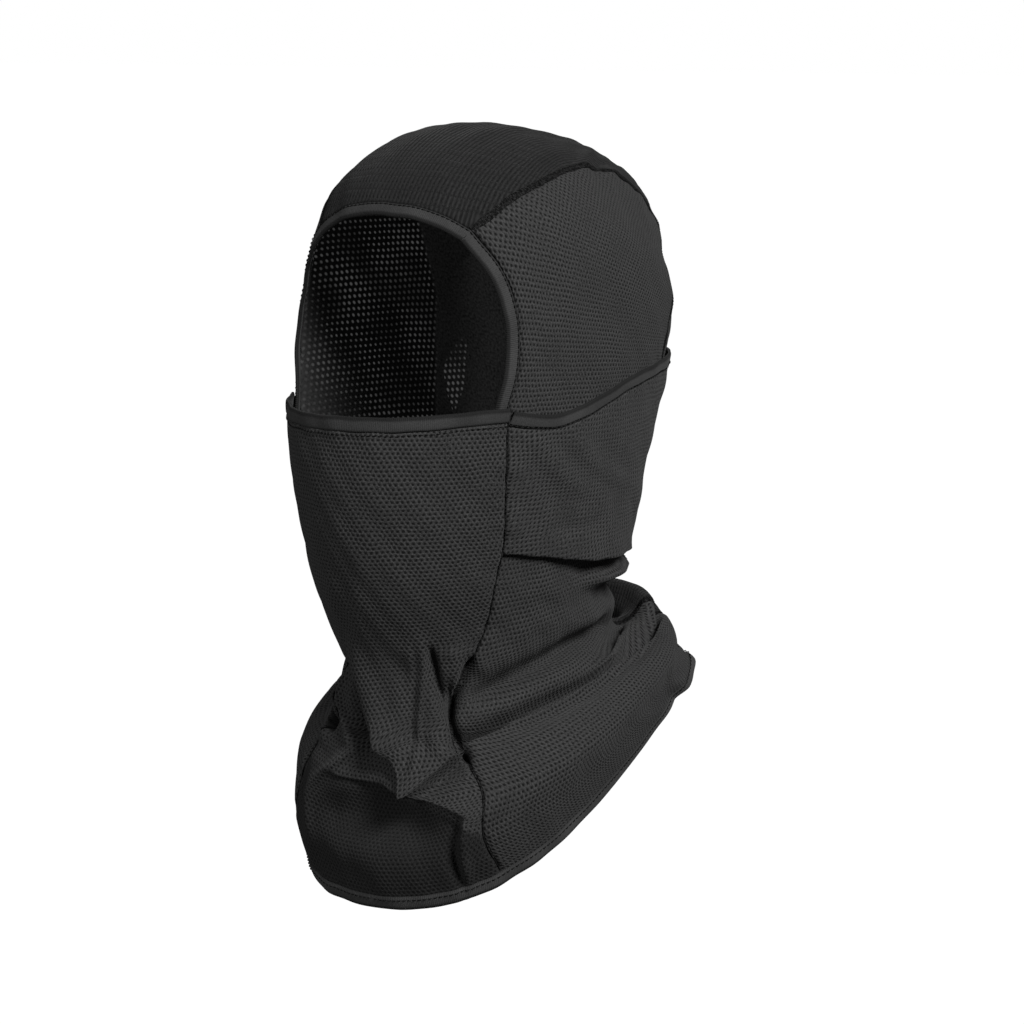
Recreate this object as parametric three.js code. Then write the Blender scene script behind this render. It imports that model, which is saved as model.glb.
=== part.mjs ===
// A ventilated balaclava: centre panel, two hood sides, face panel, nape strap and bound edges.
// Millimetres, +Z up, the face looks to -Y, the wearer's left is +X.
// The origin is the inside top of the crown, on the middle of the head.
import * as THREE from "three";

// Overall sizes of the hood's outer skin.
const HOOD_WIDTH = 158;
const HOOD_DEPTH = 210;
const HOOD_HEIGHT = 362;
// Length of cloth from the pole of the crown down to the hem.
const SKIN_LENGTH = 395;

// Cloth, seams and bindings.
const WALL = 1.2;
const SEAM_GAP = 0.3;
const HEM_GAP = 0.45;
const BINDING_WIDTH = 6;
const BINDING_THICKNESS = 2;
const HEM_WIDTH = 7;
const HEM_THICKNESS = 2.6;

// The mask and the strap lie over the hood, and the strap stands off the nape.
const COVER_LIFT = 2.6;
const STRAP_STAND_OFF = 9;
const FOLD = 10;

// A binding is thinner at its edges by this share on each face; the opening's ends lie this far
// down behind the mask, as a share of SKIN_LENGTH, which ends at the angle of the cheek.
const BINDING_SHOULDER = 0.2;
const BINDING_TAIL = 0.512;
const CHEEK_ANGLE = 55.4;

// How finely the cloth is divided, and the small steps that its directions are taken over.
const SIDE_COLUMNS = 14;
const CENTRE_COLUMNS = 12;
const FACE_COLUMNS = 18;
const UPPER_ROWS = 14;
const LOWER_ROWS = 22;
const FACE_UPPER_ROWS = 7;
const STRAP_COLUMNS = 26;
const ROW_PACKING = 1.35;
const STEP_DOWN = 0.5;
const STEP_ROUND = 0.4;

const FULL_TURN = 360;
const HALF_TURN = 180;

// Black mesh knit, and the smoother bindings along its edges.
const KNIT = { color: 0x1a1b1d, roughness: 0.92, metalness: 0 };
const TRIM = { color: 0x222325, roughness: 0.75, metalness: 0 };

const named = (columns, rows) =>
  rows.map((row) => Object.fromEntries(columns.map((key, i) => [key, row[i]])));

// Rings of the skin from the pole of the crown to the hem, each a tilted rounded loop.
// down is a share of SKIN_LENGTH, the y columns of HOOD_DEPTH, the z columns of HOOD_HEIGHT,
// half of HOOD_WIDTH; the last two are the roundness of the front and the back half.
const RINGS = named(
  ["name", "down", "frontY", "frontZ", "backY", "backZ", "half", "roundFront", "roundBack"],
  [
    ["pole", 0, 0.433, -0.075, 0.433, -0.075, 0, 2.2, 2.2],
    ["crown back", 0.08, 0.3, -0.041, 0.455, -0.141, 0.209, 2.2, 2.2],
    ["crown top", 0.15, 0.129, -0.01, 0.462, -0.193, 0.323, 2.2, 2.2],
    ["crown front", 0.23, -0.119, -0.004, 0.464, -0.232, 0.408, 2.2, 2.2],
    ["hairline", 0.3, -0.305, -0.062, 0.464, -0.26, 0.487, 2.2, 2.2],
    ["brow", 0.39, -0.433, -0.215, 0.462, -0.293, 0.5, 2.15, 2.2],
    ["nose", 0.49, -0.5, -0.362, 0.45, -0.354, 0.481, 2.0, 2.1],
    ["mouth", 0.597, -0.5, -0.483, 0.41, -0.464, 0.437, 1.9, 2.0],
    ["jaw", 0.69, -0.452, -0.594, 0.312, -0.547, 0.386, 1.9, 2.0],
    ["neck", 0.763, -0.391, -0.691, 0.315, -0.607, 0.367, 1.9, 2.0],
    ["collar tuck", 0.813, -0.381, -0.76, 0.338, -0.654, 0.392, 1.9, 2.0],
    ["collar roll", 0.875, -0.381, -0.815, 0.429, -0.63, 0.484, 2.4, 2.3],
    ["under roll", 0.911, -0.391, -0.856, 0.46, -0.642, 0.534, 2.5, 2.1],
    ["bib", 0.954, -0.438, -0.928, 0.476, -0.667, 0.5, 2.4, 2.3],
    ["hem", 1, -0.39, -1.012, 0.49, -0.697, 0.456, 2.55, 3.4],
  ],
);

// Front edge of a hood side: round the face opening, then down the front seam to the hem.
// down is a share of SKIN_LENGTH, angle is degrees round from the front.
const FRONT_EDGE = named(
  ["down", "angle"],
  [
    [0.335, 31.8],
    [0.355, 43.2],
    [0.391, 52.6],
    [0.418, 55.4],
    [0.45, 56.4],
    [0.477, 55.4],
    [0.529, 56.0],
    [0.589, 57.2],
    [0.646, 58.6],
    [0.7, 55.8],
    [0.723, 53.6],
    [0.767, 43.8],
    [0.804, 34.6],
    [0.84, 31.3],
    [0.875, 31.8],
    [0.92, 35.8],
    [0.963, 43.5],
    [1.0, 50.3],
  ],
);

// Seam of the centre panel over the crown, flat on the unrolled cloth: across and along are
// shares of SKIN_LENGTH measured from the pole, and at is a share of the way.
const CROWN_SEAM = named(
  ["at", "across", "along"],
  [
    [0.0, 0.177, 0.285],
    [0.12, 0.193, 0.255],
    [0.22, 0.202, 0.221],
    [0.31, 0.207, 0.186],
    [0.4, 0.204, 0.16],
    [0.5, 0.197, 0.13],
    [0.62, 0.184, 0.095],
    [0.74, 0.171, 0.053],
    [0.87, 0.158, 0.0],
    [1.0, 0.152, -0.071],
  ],
);

// The same seam down the back, from the end of CROWN_SEAM to the hem.
const BACK_SEAM = named(
  ["down", "angle"],
  [
    [0.168, 115],
    [0.23, 119],
    [0.299, 121.5],
    [0.391, 122.5],
    [0.489, 124],
    [0.55, 128],
    [0.597, 132],
    [0.691, 139],
    [0.813, 143],
    [0.875, 145],
    [1.0, 148],
  ],
);

// Top edge of the face opening, and of the mask below it.
const OPENING_TOP = named(
  ["angle", "down"],
  [
    [0, 0.322],
    [12, 0.324],
    [22, 0.328],
    [31.8, 0.335],
  ],
);
const MASK_TOP = named(
  ["angle", "down"],
  [
    [0, 0.489],
    [16, 0.489],
    [30, 0.487],
    [44, 0.483],
    [60, 0.48],
  ],
);

// Upper and lower edge of the nape strap, by the angle round from the front.
const STRAP_EDGES = named(
  ["angle", "top", "bottom"],
  [
    [50, 0.48, 0.646],
    [64, 0.49, 0.652],
    [72, 0.491, 0.658],
    [86.5, 0.474, 0.67],
    [98.3, 0.455, 0.68],
    [126, 0.433, 0.69],
    [150, 0.423, 0.695],
    [180, 0.42, 0.697],
  ],
);

// Folds of the gathered cloth. A fold runs from one place to another with a bow in its middle;
// rise lifts (+) or sinks (-) the cloth, over and under are its half widths on the crown's and the
// hem's side. down and bow are shares of SKIN_LENGTH; rise, over and under are shares of FOLD.
const FOLDS = named(
  ["name", "fromAngle", "fromDown", "toAngle", "toDown", "bow", "rise", "over", "under"],
  [
    ["nape fold", 88, 0.708, 215, 0.721, 0.004, 1.15, 0.5, 0.55],
    ["collar tuck, left", 150, 0.846, 34, 0.808, -0.04, -0.35, 0.8, 0.7],
    ["collar tuck, right", -150, 0.846, -34, 0.808, -0.04, -0.35, 0.8, 0.7],
    ["collar roll, left", 138, 0.86, 36, 0.826, -0.012, 0.25, 0.8, 0.6],
    ["collar roll, right", -138, 0.86, -36, 0.826, -0.012, 0.25, 0.8, 0.6],
    ["under tuck, left", 140, 0.884, 32, 0.842, -0.016, -0.4, 0.6, 0.8],
    ["under tuck, right", -140, 0.884, -32, 0.842, -0.016, -0.4, 0.6, 0.8],
    ["drip, left wing", 44, 0.955, 3, 0.903, 0, 0.55, 1.4, 0.5],
    ["drip, right wing", -30, 0.93, -1, 0.9, 0, 0.35, 1.2, 0.5],
    ["hollow under the drip", 32, 0.952, -26, 0.94, -0.02, -0.5, 0.5, 1.2],
    ["chin fold", 18, 0.74, 17, 0.86, 0, -0.25, 0.5, 0.5],
    ["drip crease, right", -24, 0.75, -4, 0.85, 0, -0.4, 0.7, 0.7],
    ["seam crease, left", 48, 0.765, 33, 0.81, 0, -0.3, 0.6, 0.6],
    ["hem corner, left", 112, 0.99, 142, 0.985, 0, 0.45, 2.2, 2.2],
    ["hem corner, right", -112, 0.99, -142, 0.985, 0, 0.45, 2.2, 2.2],
  ],
);
// Folds are measured round a neck of this radius, and fade in over this share of their length.
const FOLD_RADIUS = 66;
const FOLD_FADE = 0.25;

const radians = (degrees) => (degrees * Math.PI) / HALF_TURN;
const signedPower = (value, power) => Math.sign(value) * Math.abs(value) ** power;
const mix = (a, b, share) => a + (b - a) * share;
function ease(low, high, value) {
  const share = Math.min(Math.max((value - low) / (high - low), 0), 1);
  return share * share * (3 - 2 * share);
}

// Slope of a column at row i of a table, from its neighbours.
function slope(table, x, y, i) {
  const here = table[i];
  const before = table[Math.max(i - 1, 0)];
  const after = table[Math.min(i + 1, table.length - 1)];
  if (before === here) return (after[y] - here[y]) / (after[x] - here[x]);
  if (after === here) return (here[y] - before[y]) / (here[x] - before[x]);
  const a = here[x] - before[x];
  const b = after[x] - here[x];
  return (((here[y] - before[y]) / a) * b + ((after[y] - here[y]) / b) * a) / (a + b);
}

// A smooth curve through a table: column y at the value of column x.
function read(table, x, y, value) {
  let i = 0;
  while (i < table.length - 2 && table[i + 1][x] < value) i += 1;
  const span = table[i + 1][x] - table[i][x];
  const u = Math.min(Math.max((value - table[i][x]) / span, 0), 1);
  const rest = 1 - u;
  return (
    rest * rest * (1 + 2 * u) * table[i][y] +
    rest * rest * u * span * slope(table, x, y, i) +
    u * u * (3 - 2 * u) * table[i + 1][y] -
    u * u * rest * span * slope(table, x, y, i + 1)
  );
}

function ringPoint(ring, angle) {
  const c = Math.cos(radians(angle));
  const s = Math.sin(radians(angle));
  const round = c > 0 ? ring.roundFront : ring.roundBack;
  const forward = signedPower(c, 2 / round);
  const y = mix(ring.backY, ring.frontY, (1 + forward) / 2) * HOOD_DEPTH;
  const z = mix(ring.backZ, ring.frontZ, (1 + forward) / 2) * HOOD_HEIGHT;
  return new THREE.Vector3(ring.half * HOOD_WIDTH * signedPower(s, 2 / round), y, z);
}

// The bare skin: a smooth run down through the rings at one angle.
function bare(down, angle) {
  const share = Math.abs(down) / SKIN_LENGTH;
  const turned = down < 0 ? angle + HALF_TURN : angle;
  let i = 0;
  while (i < RINGS.length - 2 && RINGS[i + 1].down < share) i += 1;
  const at = (k, a = turned) => ringPoint(RINGS[k], a);
  const steepness = (k) => {
    if (k === 0) {
      const over = at(1, turned + HALF_TURN);
      return at(1).sub(over).divideScalar(2 * RINGS[1].down);
    }
    const a = RINGS[k].down - RINGS[k - 1].down;
    const back = at(k).sub(at(k - 1)).divideScalar(a);
    if (k === RINGS.length - 1) return back;
    const b = RINGS[k + 1].down - RINGS[k].down;
    const ahead = at(k + 1).sub(at(k)).divideScalar(b);
    return back.multiplyScalar(b).add(ahead.multiplyScalar(a)).divideScalar(a + b);
  };
  const span = RINGS[i + 1].down - RINGS[i].down;
  const u = (share - RINGS[i].down) / span;
  const rest = 1 - u;
  return at(i)
    .multiplyScalar(rest * rest * (1 + 2 * u))
    .addScaledVector(steepness(i), rest * rest * u * span)
    .addScaledVector(at(i + 1), u * u * (3 - 2 * u))
    .addScaledVector(steepness(i + 1), -u * u * rest * span);
}

// Outward direction of any skin, from small steps down and round.
function outward(skin, down, angle) {
  const along = skin(down + STEP_DOWN, angle).sub(skin(down - STEP_DOWN, angle));
  const round = skin(down, angle + STEP_ROUND).sub(skin(down, angle - STEP_ROUND));
  return along.cross(round).normalize();
}

function foldRise(down, angle) {
  let rise = 0;
  for (const fold of FOLDS) {
    for (const turn of [-FULL_TURN, 0, FULL_TURN]) {
      const x0 = radians(fold.fromAngle) * FOLD_RADIUS;
      const x1 = radians(fold.toAngle) * FOLD_RADIUS;
      const y0 = fold.fromDown * SKIN_LENGTH;
      const y1 = fold.toDown * SKIN_LENGTH;
      const length = Math.hypot(x1 - x0, y1 - y0);
      const dx = (x1 - x0) / length;
      const dy = (y1 - y0) / length;
      const x = radians(angle + turn) * FOLD_RADIUS - x0;
      const y = down - y0;
      const at = (x * dx + y * dy) / length;
      if (at <= 0 || at >= 1) continue;
      const flip = dx < 0 ? -1 : 1;
      const off = (y * dx - x * dy) * flip - fold.bow * SKIN_LENGTH * 4 * at * (1 - at);
      const wide = (off < 0 ? fold.over : fold.under) * FOLD;
      const fade = ease(0, FOLD_FADE, at) * ease(0, FOLD_FADE, 1 - at);
      rise += fold.rise * FOLD * fade * Math.exp(-((off / wide) ** 2));
    }
  }
  return rise;
}

// The hood's outer skin with its folds, above the origin by the thickness of the crown.
function folded(down, angle) {
  const rise = foldRise(down, angle);
  const point = bare(down, angle);
  if (rise !== 0) point.addScaledVector(outward(bare, down, angle), rise);
  point.z += WALL;
  return point;
}

const lifted = (down, angle, lift) =>
  folded(down, angle).addScaledVector(outward(folded, down, angle), lift);

// How far the mask lies off the hood: all the way at the top, not at all below the neck.
const COVER_TOP = 0.67 * SKIN_LENGTH;
const COVER_END = 0.765 * SKIN_LENGTH;
const maskLift = (down) => COVER_LIFT * (1 - ease(COVER_TOP, COVER_END, down));

// The strap hangs straight down from the back of the head, away from the nape.
const STAND_OFF_TOP = 0.57 * SKIN_LENGTH;
const STAND_OFF_END = 0.7 * SKIN_LENGTH;
const STAND_OFF_FROM = 66;
const STAND_OFF_FULL = 122;
function strapPoint(down, angle, lift) {
  const out = outward(folded, down, angle);
  const level = Math.hypot(out.x, out.y);
  const turn = Math.abs(angle) > HALF_TURN ? FULL_TURN - Math.abs(angle) : Math.abs(angle);
  const push =
    STRAP_STAND_OFF *
    ease(STAND_OFF_TOP, STAND_OFF_END, down) *
    ease(STAND_OFF_FROM, STAND_OFF_FULL, turn);
  const point = folded(down, angle).addScaledVector(out, lift);
  point.x += (out.x / level) * push;
  point.y += (out.y / level) * push;
  return point;
}

// A place a given distance to the side of a line on the skin, to its right looking along it.
function beside(place, along, distance) {
  const stepDown = folded(place.down + STEP_DOWN, place.angle);
  const stepRound = folded(place.down, place.angle + STEP_ROUND);
  const here = folded(place.down, place.angle);
  const perDown = stepDown.distanceTo(here) / STEP_DOWN;
  const perAngle = stepRound.distanceTo(here) / STEP_ROUND;
  const x = along.angle * perAngle;
  const y = along.down * perDown;
  const length = Math.hypot(x, y);
  return {
    down: place.down - ((x / length) * distance) / perDown,
    angle: place.angle + ((y / length) * distance) / perAngle,
  };
}

// The direction of a line of places at place i.
function heading(places, i) {
  const a = places[Math.max(i - 1, 0)];
  const b = places[Math.min(i + 1, places.length - 1)];
  return { down: b.down - a.down, angle: b.angle - a.angle };
}
const besideAll = (places, distance) =>
  places.map((place, i) => beside(place, heading(places, i), distance));

// The same for a seam that runs down to the hem, where both of its sides end level.
function besideSeam(places, distance) {
  const line = besideAll(places, distance);
  line[line.length - 1].down = places[places.length - 1].down;
  return line;
}

const shares = (count) => Array.from({ length: count + 1 }, (_, i) => i / count);
const seamPlace = (at) => {
  const across = read(CROWN_SEAM, "at", "across", at) * SKIN_LENGTH;
  const along = read(CROWN_SEAM, "at", "along", at) * SKIN_LENGTH;
  return {
    down: Math.hypot(across, along),
    angle: (Math.atan2(across, along) * HALF_TURN) / Math.PI,
  };
};

// Where the seams and edges run, in degrees round from the front at a distance down the cloth.
const frontAngle = (down) => read(FRONT_EDGE, "down", "angle", down / SKIN_LENGTH);
const openingTop = (angle) => read(OPENING_TOP, "angle", "down", Math.abs(angle)) * SKIN_LENGTH;
const backAngle = (down) => read(BACK_SEAM, "down", "angle", down / SKIN_LENGTH);

// Rows shared by every panel below the cheek, so neighbours meet along the same seams.
const EVEN_FROM = 0.646 * SKIN_LENGTH;
const CLOTH_END = SKIN_LENGTH - HEM_WIDTH;
const lowerDowns = shares(LOWER_ROWS).map((s) => mix(EVEN_FROM, CLOTH_END, s));
const FRONT_TOP = FRONT_EDGE[0].down * SKIN_LENGTH;
const BACK_TOP = BACK_SEAM[0].down * SKIN_LENGTH;
const fromTop = (top) => {
  const upper = shares(UPPER_ROWS).map((s) => mix(top, EVEN_FROM, s ** ROW_PACKING));
  return upper.concat(lowerDowns.slice(1));
};
const frontDowns = fromTop(FRONT_TOP);
const backDowns = fromTop(BACK_TOP);
const frontLine = frontDowns.map((down) => ({ down, angle: frontAngle(down) }));
const backLine = backDowns.map((down) => ({ down, angle: backAngle(down) }));
const crownLine = shares(SIDE_COLUMNS).map(seamPlace);

// A closed body from two matching sheets of points, the first one facing out.
function bodyOf(name, outer, inner) {
  const rows = outer.length;
  const columns = outer[0].length;
  const points = outer.flat().concat(inner.flat());
  const id = (side, i, j) => side * rows * columns + i * columns + j;
  const faces = [];
  const quad = (a, b, c, d) => {
    const even = points[a].distanceToSquared(points[c]) <= points[b].distanceToSquared(points[d]);
    faces.push(...(even ? [a, b, c, a, c, d] : [b, c, d, b, d, a]));
  };
  const e = columns - 1;
  const f = rows - 1;
  for (let i = 0; i < f; i += 1) {
    for (let j = 0; j < e; j += 1) {
      quad(id(0, i, j), id(0, i + 1, j), id(0, i + 1, j + 1), id(0, i, j + 1));
      quad(id(1, i, j), id(1, i, j + 1), id(1, i + 1, j + 1), id(1, i + 1, j));
    }
    quad(id(0, i, 0), id(1, i, 0), id(1, i + 1, 0), id(0, i + 1, 0));
    quad(id(0, i, e), id(0, i + 1, e), id(1, i + 1, e), id(1, i, e));
  }
  for (let j = 0; j < e; j += 1) {
    quad(id(0, 0, j), id(0, 0, j + 1), id(1, 0, j + 1), id(1, 0, j));
    quad(id(0, f, j), id(1, f, j), id(1, f, j + 1), id(0, f, j + 1));
  }
  return meshOf(name, points, faces, KNIT);
}

function meshOf(name, points, faces, finish) {
  let volume = 0;
  for (let i = 0; i < faces.length; i += 3) {
    const [a, b, c] = [points[faces[i]], points[faces[i + 1]], points[faces[i + 2]]];
    volume += a.dot(b.clone().cross(c));
  }
  const order = volume < 0 ? faces.slice().reverse() : faces;
  const shape = new THREE.BufferGeometry();
  shape.setAttribute(
    "position",
    new THREE.Float32BufferAttribute(points.flatMap((p) => [p.x, p.y, p.z]), 3),
  );
  shape.setIndex(order);
  const mesh = new THREE.Mesh(shape, new THREE.MeshStandardMaterial(finish));
  mesh.name = name;
  return mesh;
}

// A cloth panel from a table of places, WALL thick under its outer skin.
function cloth(name, places, lift = () => 0, skin = lifted) {
  const sheet = (under) =>
    places.map((row) => row.map((p) => skin(p.down, p.angle, lift(p.down) - under)));
  return bodyOf(name, sheet(0), sheet(WALL));
}

// A hood side: its top runs along the crown seam, its front edge round the opening and down the
// front seam, its back edge down the back seam; side is 1 for the wearer's left, -1 for the right.
function hoodSide(name, side) {
  const half = SEAM_GAP / 2;
  const top = besideAll(crownLine, -half);
  const front = besideSeam(frontLine, half);
  const back = besideSeam(backLine, -half);
  const corner = {
    down: mix(top[0].down, front[0].down, 0.5),
    angle: mix(top[0].angle, front[0].angle, 0.5),
  };
  const turned = top[top.length - 1];
  const rows = frontLine.map((_, i) => {
    const v = Math.min(i / UPPER_ROWS, 1);
    return shares(SIDE_COLUMNS).map((u, j) => {
      if (i === 0) return j === 0 ? corner : top[j];
      if (j === 0) return front[i];
      if (j === SIDE_COLUMNS) return back[i];
      const level = mix(front[i].down, back[i].down, u);
      const flatTop = mix(corner.down, turned.down, u);
      const sweep = mix(front[i].angle, back[i].angle, u);
      const flatSweep = mix(corner.angle, turned.angle, u);
      const fade = 1 - v;
      return {
        down: level + (top[j].down - flatTop) * fade,
        angle: sweep + (top[j].angle - flatSweep) * fade,
      };
    });
  });
  return cloth(
    name,
    rows.map((row) => row.map((p) => ({ down: p.down, angle: p.angle * side }))),
  );
}

// The centre panel: from the top of the opening, over the crown and down the back to the hem.
const SPREAD_END = 0.42 * SKIN_LENGTH;
const OPENING_BLEND = 0.45;
function centrePanel() {
  const half = SEAM_GAP / 2;
  const top = besideAll(crownLine, half);
  const back = besideSeam(backLine, half);
  const columns = shares(CENTRE_COLUMNS).map((s) => 2 * s - 1);
  const crossing = (p, w) => {
    const x = p.down * Math.sin(radians(p.angle)) * w;
    const y = p.down * Math.cos(radians(p.angle));
    return [x, y];
  };
  const placeAt = ([x, y]) => {
    const angle = (Math.atan2(x, y) * HALF_TURN) / Math.PI;
    return { down: Math.hypot(x, y), angle: angle < 0 ? angle + FULL_TURN : angle };
  };
  const rows = top.map((p, i) => {
    const pull = 1 - ease(0, OPENING_BLEND, i / SIDE_COLUMNS);
    return columns.map((w) => {
      const [x, y] = crossing(p, w);
      const edgeDown = openingTop(p.angle * w) - openingTop(p.angle) + p.down;
      const edge = { down: edgeDown, angle: p.angle * w };
      const [ex, ey] = crossing(edge, 1);
      return placeAt([mix(x, ex, pull), mix(y, ey, pull)]);
    });
  });
  back.slice(1).forEach((p) => {
    const arc = ease(BACK_TOP, SPREAD_END, p.down);
    rows.push(
      columns.map((w) => {
        const [x, y] = crossing(p, w);
        const bend = HALF_TURN - (HALF_TURN - p.angle) * w;
        const ax = p.down * Math.sin(radians(bend));
        const ay = p.down * Math.cos(radians(bend));
        return placeAt([mix(x, ax, arc), mix(y, ay, arc)]);
      }),
    );
  });
  return cloth("centre_panel", rows);
}

const maskTop = (angle) => read(MASK_TOP, "angle", "down", Math.abs(angle)) * SKIN_LENGTH;
const SEAM_TURN = (SEAM_GAP / 2 / FOLD_RADIUS) * (HALF_TURN / Math.PI);
const MASK_CORNER = frontAngle(maskTop(CHEEK_ANGLE)) - SEAM_TURN;

// The face panel hangs from the mask's band between the two front seams down to the hem.
function facePanel() {
  const start = maskTop(MASK_CORNER) + BINDING_WIDTH;
  const upper = shares(FACE_UPPER_ROWS).map((s) => mix(start, EVEN_FROM, s));
  const downs = upper.concat(lowerDowns.slice(1));
  const seam = besideSeam(
    downs.map((down) => ({ down, angle: frontAngle(down) })),
    -SEAM_GAP / 2,
  );
  const rows = seam.map((p, i) => {
    const fade = 1 - Math.min(i / FACE_UPPER_ROWS, 1);
    return shares(FACE_COLUMNS).map((s) => {
      const angle = p.angle * (2 * s - 1);
      return { down: p.down + (maskTop(angle) - maskTop(p.angle)) * fade, angle };
    });
  });
  return cloth("face_panel", rows, maskLift);
}

// Places along the strap at a share of its height, from the left front seam round the back to the
// right one.
function strapLine(share) {
  const edgeDown = (angle) => {
    const turn = Math.min(angle, FULL_TURN - angle);
    const top = read(STRAP_EDGES, "angle", "top", turn) * SKIN_LENGTH + BINDING_WIDTH;
    return mix(top, read(STRAP_EDGES, "angle", "bottom", turn) * SKIN_LENGTH, share);
  };
  const edge = frontAngle(edgeDown(MASK_CORNER)) + SEAM_TURN;
  return shares(STRAP_COLUMNS).map((s) => {
    const angle = mix(edge, FULL_TURN - edge, s);
    return { down: edgeDown(angle), angle };
  });
}

const napeStrap = () =>
  cloth("nape_strap", shares(FACE_UPPER_ROWS).map(strapLine), () => COVER_LIFT, strapPoint);

// A bound edge: a flattened strip of six sides along a line of places, on one side of it.
// A closed strip goes round at an even height and lies on the hem's side of its line.
function binding(name, line, { width, thick, gap = SEAM_GAP, lift = 0, skin = lifted, closed = false }) {
  const high = lift - WALL / 2 + thick / 2;
  const low = high - thick;
  const shoulder = (high - low) * BINDING_SHOULDER;
  const corners = [
    [gap, low + shoulder],
    [width / 2, low],
    [width, low + shoulder],
    [width, high - shoulder],
    [width / 2, high],
    [gap, high - shoulder],
  ];
  const points = line.flatMap((place, i) => {
    const along = closed ? { down: 0, angle: -1 } : heading(line, i);
    return corners.map(([side, rise]) => {
      const p = beside(place, along, side);
      return skin(p.down, p.angle, rise);
    });
  });
  const sides = corners.length;
  const id = (i, k) => (i % line.length) * sides + (k % sides);
  const faces = [];
  const spans = closed ? line.length : line.length - 1;
  for (let i = 0; i < spans; i += 1) {
    for (let k = 0; k < sides; k += 1) {
      faces.push(id(i, k), id(i, k + 1), id(i + 1, k + 1));
      faces.push(id(i, k), id(i + 1, k + 1), id(i + 1, k));
    }
  }
  if (!closed) {
    const last = line.length - 1;
    for (let k = 1; k < sides - 1; k += 1) {
      faces.push(id(0, 0), id(0, k + 1), id(0, k), id(last, 0), id(last, k), id(last, k + 1));
    }
  }
  return meshOf(name, points, faces, TRIM);
}

// The opening's binding: up the left edge, over the arch and down the right edge.
function openingBinding() {
  const rise = frontLine.filter((p) => p.down < BINDING_TAIL * SKIN_LENGTH).reverse();
  const reach = FRONT_EDGE[0].angle;
  const arch = shares(CENTRE_COLUMNS)
    .slice(1, -1)
    .map((s) => {
      const angle = reach * (1 - 2 * s);
      return { down: openingTop(angle), angle };
    });
  const fall = rise.map((p) => ({ down: p.down, angle: -p.angle })).reverse();
  return binding("opening_binding", [...rise, ...arch, ...fall], {
    width: BINDING_WIDTH,
    thick: BINDING_THICKNESS,
  });
}

function maskBand() {
  const line = shares(FACE_COLUMNS).map((s) => {
    const angle = MASK_CORNER * (2 * s - 1);
    return { down: maskTop(angle) + BINDING_WIDTH, angle };
  });
  return binding("mask_band", line, {
    width: BINDING_WIDTH,
    thick: BINDING_THICKNESS,
    lift: COVER_LIFT,
  });
}

function strapBand() {
  return binding("strap_band", strapLine(0), {
    width: BINDING_WIDTH,
    thick: BINDING_THICKNESS,
    lift: COVER_LIFT,
    skin: strapPoint,
  });
}

// The hem's binding turns at the same places as the panels' lower edges.
function hemBinding() {
  const front = frontAngle(CLOTH_END);
  const back = backAngle(CLOTH_END);
  const turns = [
    ...shares(FACE_COLUMNS).map((s) => mix(-front, front, s)),
    ...shares(SIDE_COLUMNS).slice(1).map((s) => mix(front, back, s)),
    ...shares(CENTRE_COLUMNS).slice(1).map((s) => mix(back, FULL_TURN - back, s)),
    ...shares(SIDE_COLUMNS).slice(1, -1).map((s) => FULL_TURN - mix(back, front, s)),
  ];
  const line = turns.reverse().map((angle) => ({ down: CLOTH_END, angle }));
  return binding("hem_binding", line, {
    width: HEM_WIDTH,
    thick: HEM_THICKNESS,
    gap: HEM_GAP,
    closed: true,
  });
}

const balaclava = new THREE.Group();
balaclava.add(
  centrePanel(),
  hoodSide("hood_side_left", 1),
  hoodSide("hood_side_right", -1),
  facePanel(),
  napeStrap(),
  openingBinding(),
  maskBand(),
  strapBand(),
  hemBinding(),
);
export default balaclava;
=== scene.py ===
"""A ventilated balaclava of black mesh knit, shown as it is worn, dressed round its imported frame.

Tables and functions work in millimetres on the part's own axes, +Z up and the face to -Y, and the
meshes are made in metres. A place on the cloth is a pair (down, angle): down is the distance along
the cloth from the pole of the crown towards the hem, and angle is in degrees round from the front.
"""

import bpy
import numpy as np
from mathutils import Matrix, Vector


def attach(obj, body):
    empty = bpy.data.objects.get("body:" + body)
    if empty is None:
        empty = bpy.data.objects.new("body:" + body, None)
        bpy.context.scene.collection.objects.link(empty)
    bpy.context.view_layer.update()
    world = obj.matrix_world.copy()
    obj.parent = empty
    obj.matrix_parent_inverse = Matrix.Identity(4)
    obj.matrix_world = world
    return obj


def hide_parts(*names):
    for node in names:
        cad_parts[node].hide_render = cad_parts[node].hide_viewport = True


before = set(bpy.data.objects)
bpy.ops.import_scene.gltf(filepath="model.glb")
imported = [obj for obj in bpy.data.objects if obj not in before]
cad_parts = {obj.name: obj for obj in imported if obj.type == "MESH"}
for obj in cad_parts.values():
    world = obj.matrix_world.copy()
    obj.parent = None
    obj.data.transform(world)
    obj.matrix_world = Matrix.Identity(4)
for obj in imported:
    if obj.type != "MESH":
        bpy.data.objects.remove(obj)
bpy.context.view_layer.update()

MM = 0.001

# Overall sizes of the hood's outer skin, as in the part.
HOOD_WIDTH = 158.0
HOOD_DEPTH = 210.0
HOOD_HEIGHT = 362.0
SKIN_LENGTH = 395.0

# Cloth and bindings, as in the part, but with the panels sewn edge to edge.
WALL = 1.2
TAPE_GAP = 0.3
HEM_GAP = 0.45
BINDING_WIDTH = 6.0
BINDING_THICKNESS = 2.0
HEM_WIDTH = 7.0
HEM_THICKNESS = 2.6
COVER_LIFT = 2.6
STRAP_STAND_OFF = 9.0
FOLD = 10.0

# Where the opening's binding ends, as a share of SKIN_LENGTH, and the angle of the mask's corner.
BINDING_TAIL = 0.512
CHEEK_ANGLE = 55.4

# How closely rows are packed at the top of a panel, and the small steps that slopes are taken over.
ROW_PACKING = 1.35
STEP_DOWN = 0.5
STEP_ROUND = 0.4

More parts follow.
